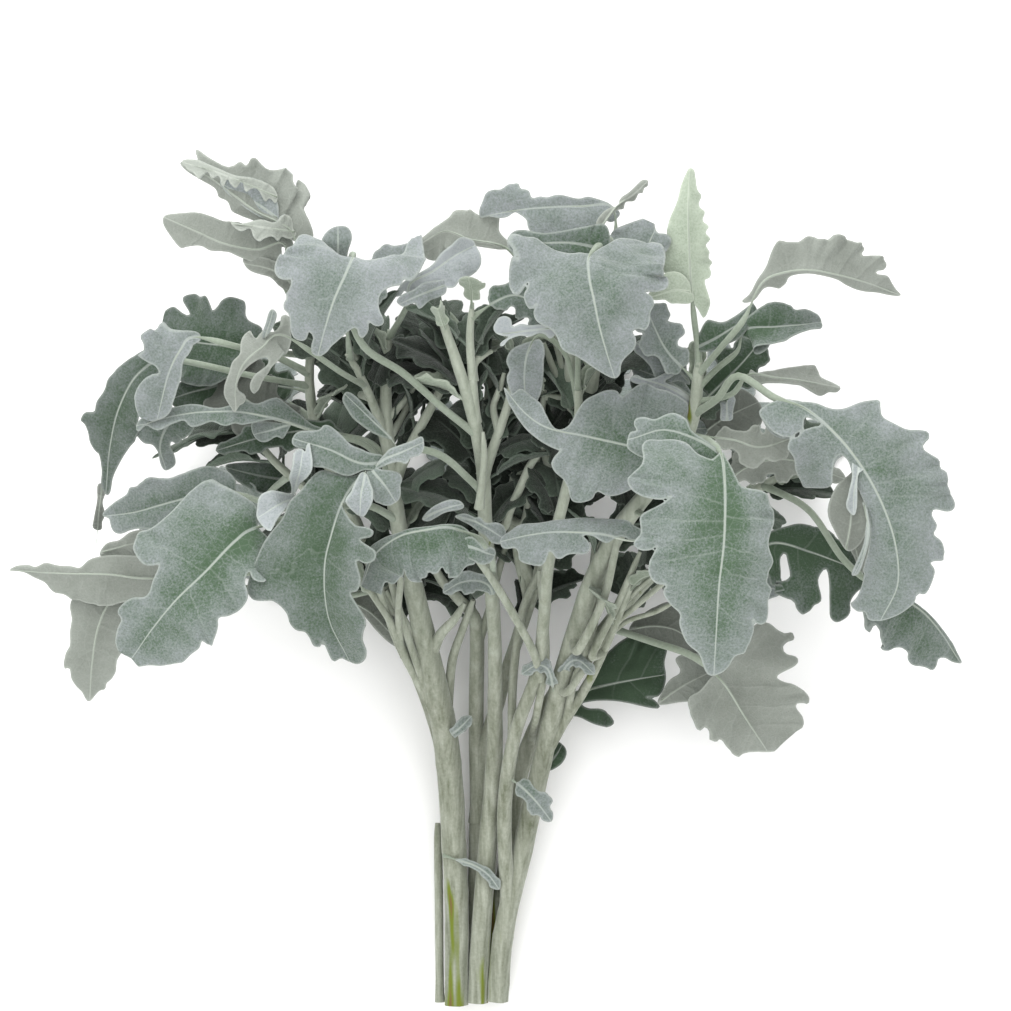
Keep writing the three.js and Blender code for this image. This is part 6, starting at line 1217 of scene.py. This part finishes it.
def felted_stem(name):
    """Cut stem: white felt over olive-green ribs that run along it. Inside the head it is painted paler and
    greener, painted light where the head shades it. Near the cut end it is rubbed off in streaks, down to
    green skin with brown bruises."""
    material, tree, shader = new_material(name, 0.85, 0.3)
    place = add(tree, "ShaderNodeTexCoord").outputs["Object"]
    along = add(tree, "ShaderNodeMapping", {"Vector": place, "Scale": (1.0, 0.07, 1.0)})
    tufts = add(tree, "ShaderNodeTexNoise", {
        "Vector": place, "Scale": 850.0, "Detail": 4.0, "Roughness": 0.7})
    streaks = add(tree, "ShaderNodeTexNoise", {
        "Vector": along, "Scale": 420.0, "Detail": 4.0, "Roughness": 0.6})
    patches = add(tree, "ShaderNodeTexNoise", {"Vector": place, "Scale": 45.0, "Detail": 2.0})
    density = add(tree, "ShaderNodeMath", {0: tufts, 1: 0.4, 2: streaks}, operation="MULTIPLY_ADD")
    density = add(tree, "ShaderNodeMath", {0: patches, 1: 0.4, 2: density}, operation="MULTIPLY_ADD")
    density = add(tree, "ShaderNodeMapRange", {"Value": density, "From Min": 0.62, "From Max": 1.18})
    up_stem = add(tree, "ShaderNodeSeparateXYZ", {0: place}).outputs["Y"]
    # Painted light: the stem is painted paler and greener inside the head, above y = -0.05 m, where the head
    # shades it.
    painted_light_in_head = add(tree, "ShaderNodeMapRange", {
        "Value": up_stem, "From Min": -0.05, "From Max": 0.03, "To Max": 0.4})
    # Rubbed streaks: only on the last 60 mm before the cut, with a bruise in the middle of each.
    low = add(tree, "ShaderNodeMapRange", {
        "Value": up_stem, "From Min": -0.165, "From Max": -0.095, "To Min": 1.0, "To Max": 0.0})
    rubs = add(tree, "ShaderNodeTexNoise", {"Vector": along, "Scale": 130.0, "Detail": 2.0})
    rubs = add(tree, "ShaderNodeMath", {0: low, 1: 0.16, 2: rubs}, operation="MULTIPLY_ADD")
    rubbed = add(tree, "ShaderNodeMapRange", {"Value": rubs, "From Min": 0.71, "From Max": 0.76})
    bruise = add(tree, "ShaderNodeMapRange", {"Value": rubs, "From Min": 0.77, "From Max": 0.8})
    colour = linear("#5f6452")
    for share, paint in ((density, "#9da194"), (painted_light_in_head, "#b0b9ab"), (rubbed, "#636f26"), (bruise, "#685533")):
        colour = add(tree, "ShaderNodeMix", {
            0: share, 6: colour, 7: linear(paint)}, data_type="RGBA").outputs[2]
    tree.links.new(colour, shader.inputs["Base Color"])
    height = add(tree, "ShaderNodeMath", {0: tufts, 1: 0.5, 2: streaks}, operation="MULTIPLY_ADD")
    bump = add(tree, "ShaderNodeBump", {"Strength": 0.6, "Distance": 0.5 * MM, "Height": height})
    tree.links.new(bump.outputs[0], shader.inputs["Normal"])
    return material


# Upper skin: mid grey-green, with the darkest green where the felt thins beside the midrib.
UPPER = felted_blade("felted_leaf_upper", "#445843", "#8c9193", "#a2a9a3", True)
# Under skin: a close, even felt, duller and whiter, with its veins raised.
UNDER = felted_blade("felted_leaf_underside", "#6d726a", "#8f948d", "#a3a8a0", False)
# Leaf stalk: pale green under a white felt.
STALK = felted_stalk("felted_leaf_stalk", "#6a7563", "#9ca598")
# Young leaf at a shoot's tip: nearly white, its felt still whole.
YOUNG = felted_blade("felted_young_leaf", "#8a9784", "#b2bcac", "#bfc8b8", True)
# Inner leaf: dark green with little felt, darkened further as painted shade so that the inside of the head
# reads dark.
INNER_LEAF_PAINTED_SHADE = felted_blade("inner_leaf_painted_shade", "#1d251d", "#505c50", "#5e695e", True)
# Cut stem: olive ribs under a worn white felt.
STEM = felted_stem("felted_stem")

# ---- the large leaves ----

LOBE_SEEDS = 60  # the first of the seeds of the extra lobes
BROAD, MIDDLING = 23, 13  # half widths past which a leaf has a coarser net and a rounder stalk

leaf_meshes = []
for index, (name, stem, axis, y, line, details) in enumerate(LEAVES):
    foot = point_on_axis(stem, axis, y)
    leaf = Leaf(np.vstack([foot, points_of(line, 3)]), details, index)
    big = max(leaf.half)
    step = 1.1 if big > BROAD else 0.9 if big > MIDDLING else 0.75
    sides, rings = (12, 60) if big > MIDDLING else (8, 36)
    parts = [blade_mesh(leaf, step), stalk_mesh(leaf, sides, rings)]
    for number, (parent, lobe_line, look) in enumerate(EXTRA_LOBES):
        if parent == name:
            look = {
                "bare": 0.05, "ruffle": 0.4, "quilt": 0.3, "light": leaf.light, "green": leaf.green, **look}
            lobe = Leaf(points_of(lobe_line, 3), look, LOBE_SEEDS + number)
            parts += [blade_mesh(lobe, 0.75), stalk_mesh(lobe, 6, 20, 0.6)]
    vertices, faces, kinds, attributes = joined(parts)
    vertices[:, 2] = np.maximum(vertices[:, 2], LOWEST)
    skins = [YOUNG, YOUNG, STALK] if details.get("young") else [UPPER, UNDER, STALK]
    finished(mesh_object(name, vertices, faces, kinds, attributes, skins), name)
    leaf_meshes.append((vertices, faces, kinds, attributes))

# ---- stems: a skin drawn along their centrelines ----


def plain_mesh(source, modifier_tree, name, settings):
    """Runs a geometry tree on the source object and returns the result as a plain mesh object."""
    modifier = source.modifiers.new("grow", "NODES")
    modifier.node_group = modifier_tree
    for item in modifier_tree.interface.items_tree:
        if item.item_type == "SOCKET" and item.in_out == "INPUT" and item.name in settings:
            modifier[item.identifier] = settings[item.name]
    bpy.context.view_layer.update()
    made = bpy.data.meshes.new_from_object(source.evaluated_get(bpy.context.evaluated_depsgraph_get()))
    made.name = name
    source.modifiers.remove(modifier)
    old = source.data
    bpy.data.objects.remove(source)
    bpy.data.meshes.remove(old)
    return linked(name, made)


def new_tree(name, inputs):
    tree = bpy.data.node_groups.new(name, "GeometryNodeTree")
    tree.interface.new_socket("Geometry", in_out="INPUT", socket_type="NodeSocketGeometry")
    tree.interface.new_socket("Geometry", in_out="OUTPUT", socket_type="NodeSocketGeometry")
    for label, kind in inputs.items():
        tree.interface.new_socket(label, in_out="INPUT", socket_type="NodeSocket" + kind)
    return tree, add(tree, "NodeGroupInput").outputs


def stem_skin_tree():
    """A ribbed, slightly uneven round skin along each centreline, as thick as its girth says."""
    tree, given = new_tree("stem_skin", {
        "Sides": "Int", "Ring Spacing": "Float", "Rib Count": "Float", "Rib Depth": "Float",
        "Unevenness": "Float", "Skin": "Material"})
    line = add(tree, "GeometryNodeMeshToCurve", {"Mesh": given["Geometry"]})
    line = add(tree, "GeometryNodeResampleCurve", {
        "Curve": line, "Length": given["Ring Spacing"]}, mode="LENGTH")
    ring = add(tree, "GeometryNodeCurvePrimitiveCircle", {"Resolution": given["Sides"], "Radius": 1.0})
    share = add(tree, "GeometryNodeSplineParameter").outputs["Factor"]
    turn = add(tree, "ShaderNodeMath", {0: share, 1: 2 * math.pi}, operation="MULTIPLY")
    rib = add(tree, "ShaderNodeMath", {0: turn, 1: given["Rib Count"]}, operation="MULTIPLY")
    rib = add(tree, "ShaderNodeMath", {0: rib}, operation="COSINE")
    rib = add(tree, "ShaderNodeMath", {0: rib, 1: given["Rib Depth"], 2: 1.0}, operation="MULTIPLY_ADD")
    ribbed = add(tree, "ShaderNodeVectorMath", {
        0: add(tree, "GeometryNodeInputPosition"), 3: rib}, operation="SCALE")
    ring = add(tree, "GeometryNodeSetPosition", {"Geometry": ring, "Position": ribbed})
    girth = add(tree, "GeometryNodeInputNamedAttribute", {"Name": "girth"}, data_type="FLOAT")
    skin = add(tree, "GeometryNodeCurveToMesh", {
        "Curve": line, "Profile Curve": ring, "Scale": girth, "Fill Caps": True})
    lumps = add(tree, "ShaderNodeTexNoise", {"Scale": 260.0, "Detail": 2.0})
    lumps = add(tree, "ShaderNodeMath", {0: lumps, 1: -0.5}, operation="ADD")
    lumps = add(tree, "ShaderNodeMath", {0: lumps, 1: given["Unevenness"]}, operation="MULTIPLY")
    offset = add(tree, "ShaderNodeVectorMath", {
        0: add(tree, "GeometryNodeInputNormal"), 3: lumps}, operation="SCALE")
    skin = add(tree, "GeometryNodeSetPosition", {"Geometry": skin, "Offset": offset})
    skin = add(tree, "GeometryNodeSetShadeSmooth", {"Geometry": skin})
    skin = add(tree, "GeometryNodeRealizeInstances", {"Geometry": skin})
    skin = add(tree, "GeometryNodeSetMaterial", {"Geometry": skin, "Material": given["Skin"]})
    add(tree, "NodeGroupOutput", {"Geometry": skin})
    return tree


STEM_SKIN = stem_skin_tree()


def stem_lines(name, lines):
    """An object of plain polylines: each a table of points in mm with the girth as the fourth column."""
    points, edges, girths = [], [], []
    for line in lines:
        edges += [(len(points) + i, len(points) + i + 1) for i in range(len(line) - 1)]
        points += ((line[:, :3] + ORIGIN_SHIFT) * MM).tolist()
        girths += (line[:, 3] * MM).tolist()
    mesh = bpy.data.meshes.new(name)
    mesh.from_pydata(points, edges, [])
    set_attribute(mesh, "girth", "FLOAT", girths)
    return linked(name + "_line", mesh)


def stem_line(points, seed, main):
    """A stem's centreline with its girth: it swells where leaves were, and where a shoot leaves it."""
    line, _ = knot_line(points, np.linspace(0, 1, 6 * (len(points) - 1) + 1))
    run = np.concatenate([[0], np.cumsum(np.linalg.norm(np.diff(line[:, :3], axis=0), axis=1))])
    if main:
        leaf_spacing = 19.0
        off = (run + 5.0 * seed) % leaf_spacing
        line[:, 3] *= 1 + 0.05 * np.exp(-(((off - leaf_spacing / 2) / 2.0) ** 2))
    else:
        line[:, 3] *= 1 + 0.35 * np.exp(-run / 5.0)
    line[:, 3] *= 1 - 0.35 * smooth((run - run[-1] + 6) / 6)
    return line


for seed, (stem, axes) in enumerate(STEMS.items()):
    source = stem_lines(stem, [stem_line(points, seed, axis == "main") for axis, points in axes.items()])
    piece = plain_mesh(source, STEM_SKIN, stem, {
        "Sides": 20, "Ring Spacing": 2.5 * MM, "Rib Count": 5.0, "Rib Depth": 0.05,
        "Unevenness": 0.25 * MM, "Skin": STEM})
    finished(piece, stem)

source = stem_lines("bare_stalks", [stem_line(points_of(row, 4), 0, False) for row in BARE_STALKS])
piece = plain_mesh(source, STEM_SKIN, "bare_stalks", {
    "Sides": 10, "Ring Spacing": 2.0 * MM, "Rib Count": 3.0, "Rib Depth": 0.08,
    "Unevenness": 0.15 * MM, "Skin": STEM})
finished(piece, None)

# ---- small leaves: a few forms, set on the shoots many times ----

# What each point carries for the leaf that is set there.
SPRAY_ATTRIBUTES = {
    "way": "FLOAT_VECTOR", "back": "FLOAT_VECTOR", "size": "FLOAT", "kind": "INT", "shift": "FLOAT_VECTOR"}


def leaf_spray_tree():
    """A small leaf form at each point, its stalk along the point's way and its back to the shoot."""
    tree, given = new_tree("leaf_spray", {"Forms": "Collection", "Skin": "Material"})
    forms = add(tree, "GeometryNodeCollectionInfo", {
        "Collection": given["Forms"], "Separate Children": True, "Reset Children": True})
    way, back, size, kind, shift, tone = (
        add(tree, "GeometryNodeInputNamedAttribute", {"Name": key}, data_type=data_type)
        for key, data_type in {**SPRAY_ATTRIBUTES, "tone": "FLOAT_VECTOR"}.items())
    turn = add(tree, "FunctionNodeAlignRotationToVector", {"Vector": way}, axis="Z")
    turn = add(tree, "FunctionNodeAlignRotationToVector", {
        "Rotation": turn, "Vector": back}, axis="Y", pivot_axis="Z")
    leaves = add(tree, "GeometryNodeInstanceOnPoints", {
        "Points": given["Geometry"], "Instance": forms, "Pick Instance": True, "Instance Index": kind,
        "Rotation": turn, "Scale": add(tree, "ShaderNodeCombineXYZ", {0: size, 1: size, 2: size})})
    leaves = add(tree, "GeometryNodeRealizeInstances", {"Geometry": leaves})
    tone = add(tree, "ShaderNodeVectorMath", {0: tone, 1: shift}, operation="ADD")
    leaves = add(tree, "GeometryNodeStoreNamedAttribute", {"Geometry": leaves, "Name": "tone", "Value": tone},
                 data_type="FLOAT_VECTOR", domain="POINT")
    leaves = add(tree, "GeometryNodeSetMaterial", {"Geometry": leaves, "Material": given["Skin"]})
    add(tree, "NodeGroupOutput", {"Geometry": leaves})
    return tree


LEAF_SPRAY = leaf_spray_tree()


def small_form(name, length, half, lobes, cut, fold, curl, seed, step):
    """A small leaf standing at the origin along +Z, in metres, with its under side towards +Y."""
    details = {"half": half, "face": [0, -1, 0.2], "fold": fold, "curl": curl, "lobes": lobes, "cut": cut,
               "wave": 0.8, "green": 0.4, "ruffle": 0.25, "quilt": 0.3}
    leaf = Leaf([[0, 0, 0], [0, -0.02 * length, 0.5 * length], [0, 0.14 * length, length]], details, seed)
    vertices, faces, _, attributes = joined([blade_mesh(leaf, step), stalk_mesh(leaf, 6, 10)])
    form = mesh_object(name, vertices - ORIGIN_SHIFT, faces, [0] * len(faces), attributes, [])
    return form, vertices, faces


def spray(name, rows, forms, skin):
    """Sets small leaves on the shoots. A row: point, way, back, size, form number, lightness shift."""
    mesh = bpy.data.meshes.new(name)
    mesh.from_pydata([((row[0] + ORIGIN_SHIFT) * MM).tolist() for row in rows], [], [])
    for column, (key, kind) in enumerate(SPRAY_ATTRIBUTES.items(), 1):
        set_attribute(mesh, key, kind, [row[column] for row in rows])
    source = linked(name + "_points", mesh)
    finished(plain_mesh(source, LEAF_SPRAY, name, {"Forms": forms, "Skin": skin}), None)


def form_collection(name, forms):
    group = bpy.data.collections.new(name)
    scene.collection.children.link(group)
    for form, _, _ in forms:
        scene.collection.objects.unlink(form)
        group.objects.link(form)
    return group


def turned_off(axis_points, t, turn, spread):
    """Where a small leaf leaves a shoot, the way it goes, and the way out from the shoot."""
    at, along = knot_line(axis_points, t)
    at, along = at[0, :3], along[0, :3]
    across = np.array([1.0, 0, 0]) - along * along[0]
    across /= np.linalg.norm(across)
    above = np.cross(across, along)
    off = across * math.cos(math.radians(turn)) + above * math.sin(math.radians(turn))
    way = along * math.cos(math.radians(spread)) + off * math.sin(math.radians(spread))
    return at, way, off


young_forms = [
    small_form("young_a", 20, 4.8, 2, [0.36, 0.24], 24, 10, 1, 0.9),
    small_form("young_b", 20, 4.2, 3, [0.3, 0.24], 34, 30, 2, 0.9),
    small_form("young_c", 20, 5.2, 3, [0.42, 0.3], 14, -10, 3, 0.9),
]
young_group = form_collection("young_forms", young_forms)
rng = np.random.default_rng(7)
rows = []
for axis, turns in YOUNG_LEAVES.items():
    stem, branch = axis.split("/")
    for k, turn in enumerate(turns):
        at, way, off = turned_off(STEMS[stem][branch], 0.96 - 0.12 * k, turn, 30 + 12 * k)
        rows.append((at, way, off, 1 + 0.25 * k, int(rng.integers(3)), (rng.uniform(-0.6, -0.2), 0, 0)))
spray("young_leaves", rows, young_group, YOUNG)

# ---- the small leaves low on the stems ----

parts = []
for seed, line, details in STEM_LEAVES:
    leaf = Leaf(points_of(line, 3), {"light": 0.42, "green": 0.4, "ruffle": 0.5, **details}, seed)
    parts += [blade_mesh(leaf, 0.6), stalk_mesh(leaf, 8, 20)]
finished(mesh_object("low_stem_leaves", *joined(parts), [UPPER, UNDER, STALK]), None)

# ---- leaves inside the head: shorter ones all along the shoots, clear of the large leaves ----

INNER_SPACING = 5.0  # along a shoot
LEAF_TURN = 137.5  # degrees round the shoot from each leaf to the next
LOW_END_BACK, LOW_END_FRONT = -14, 14  # y from which a back stem, and a front one, carries inner leaves
HEAD_SIDE, HEAD_TOP, HEAD_TIPS = 150, 128, 126  # how far the inner leaves reach

inner_forms = [
    small_form("inner_a", 34, 11.0, 3, [0.3, 0.15], 14, -20, 4, 1.3),
    small_form("inner_b", 34, 9.0, 3, [0.36, 0.2], 24, 10, 5, 1.3),
    small_form("inner_c", 34, 12.0, 2, [0.3, 0.2], 4, -30, 6, 1.3),
    small_form("inner_d", 34, 7.0, 3, [0.3, 0.2], 34, 30, 7, 1.3),
]
inner_group = form_collection("inner_forms", inner_forms)
vertices, faces, _, _ = joined(leaf_meshes)
large_leaves = BVHTree.FromPolygons(vertices.tolist(), faces)


def inside_head(body):
    """Whether the small leaf stays above the table and under the head's outer leaves."""
    return (body[:, 2].min() >= 1 and body[:, 2].max() <= HEAD_TOP
            and np.abs(body[:, 0]).max() <= HEAD_SIDE and body[:, 1].max() <= HEAD_TIPS)


rng = np.random.default_rng(21)
rows = []
for stem, axes in STEMS.items():
    for points in axes.values():
        steps = int(Midrib(points).length / INNER_SPACING)
        for k in range(steps):
            t = 0.97 - 0.93 * k / steps
            if knot_line(points, t)[0][0, 1] < (LOW_END_BACK if "back" in stem else LOW_END_FRONT):
                continue
            for attempt in range(2):
                turn = 180 + (LEAF_TURN * (k + 0.5 * attempt) + 40 * attempt) % 180
                at, way, off = turned_off(points, t, turn, rng.uniform(38, 62))
                size = rng.uniform(0.65, 1.25)
                kind = int(rng.integers(4))
                _, form, form_faces = inner_forms[kind]
                side = off - way * (off @ way)
                side /= np.linalg.norm(side)
                form = form * size
                body = at + form[:, :1] * np.cross(side, way) + form[:, 1:2] * side + form[:, 2:] * way
                if not inside_head(body):
                    continue
                if not BVHTree.FromPolygons(body.tolist(), form_faces).overlap(large_leaves):
                    rows.append((at, way, off, size, kind, (rng.uniform(-0.5, 0.35), 0.2, 0)))
                    break
# The inner leaves wear painted shade: their dark skin stands in for the shade inside the head.
spray("inner_leaves", rows, inner_group, INNER_LEAF_PAINTED_SHADE)

for form, _, _ in young_forms + inner_forms:
    bpy.data.objects.remove(form)
for group in (young_group, inner_group):
    bpy.data.collections.remove(group)

# ---- table, light and camera ----

REACH = 3.0  # of the table top, in metres each way
floor_mesh = bpy.data.meshes.new("table_top")
corners = [(-REACH, -REACH, 0), (REACH, -REACH, 0), (REACH, REACH, 0), (-REACH, REACH, 0)]
floor_mesh.from_pydata(corners, [], [(0, 1, 2, 3)])
floor = linked("table_top", floor_mesh)
matt, _, shader = new_material("matt_white_board", 0.9, 0.0)
shader.inputs["Base Color"].default_value = linear("#f6f6f5")
floor_mesh.materials.append(matt)


def lamp(name, size, power, place, aim):
    light = bpy.data.lights.new(name, "AREA")
    light.shape, light.size, light.size_y, light.energy = "RECTANGLE", size[0], size[1], power
    holder = linked(name, light)
    holder.location = place
    holder.rotation_euler = (Vector(aim) - Vector(place)).to_track_quat("-Z", "Y").to_euler()


lamp("overhead", (2.4, 2.4), 30.0, (-0.3, 0.6, 2.3), (0, 0, 0.05))
lamp("from_the_tips", (2.4, 1.4), 42.0, (-0.5, 1.7, 1.3), (0, 0, 0.05))
lamp("from_the_cut_ends", (2.0, 0.8), 16.0, (0.1, -1.5, 0.7), (0, -0.1, 0.0))

world = bpy.data.worlds.new("white_room")
world.use_nodes = True
world.node_tree.nodes["Background"].inputs[0].default_value = linear("#ffffff")
world.node_tree.nodes["Background"].inputs[1].default_value = 0.85
scene.world = world

camera = linked("camera", bpy.data.cameras.new("camera"))
camera.data.lens = 170.03
camera.data.sensor_width = 36.0
camera.data.clip_start, camera.data.clip_end = 0.05, 20.0
camera.location = (0.0086, 0.0331, 2.0)
camera.rotation_euler = (0, 0, 0)
scene.camera = camera
scene.view_settings.view_transform = "Standard"
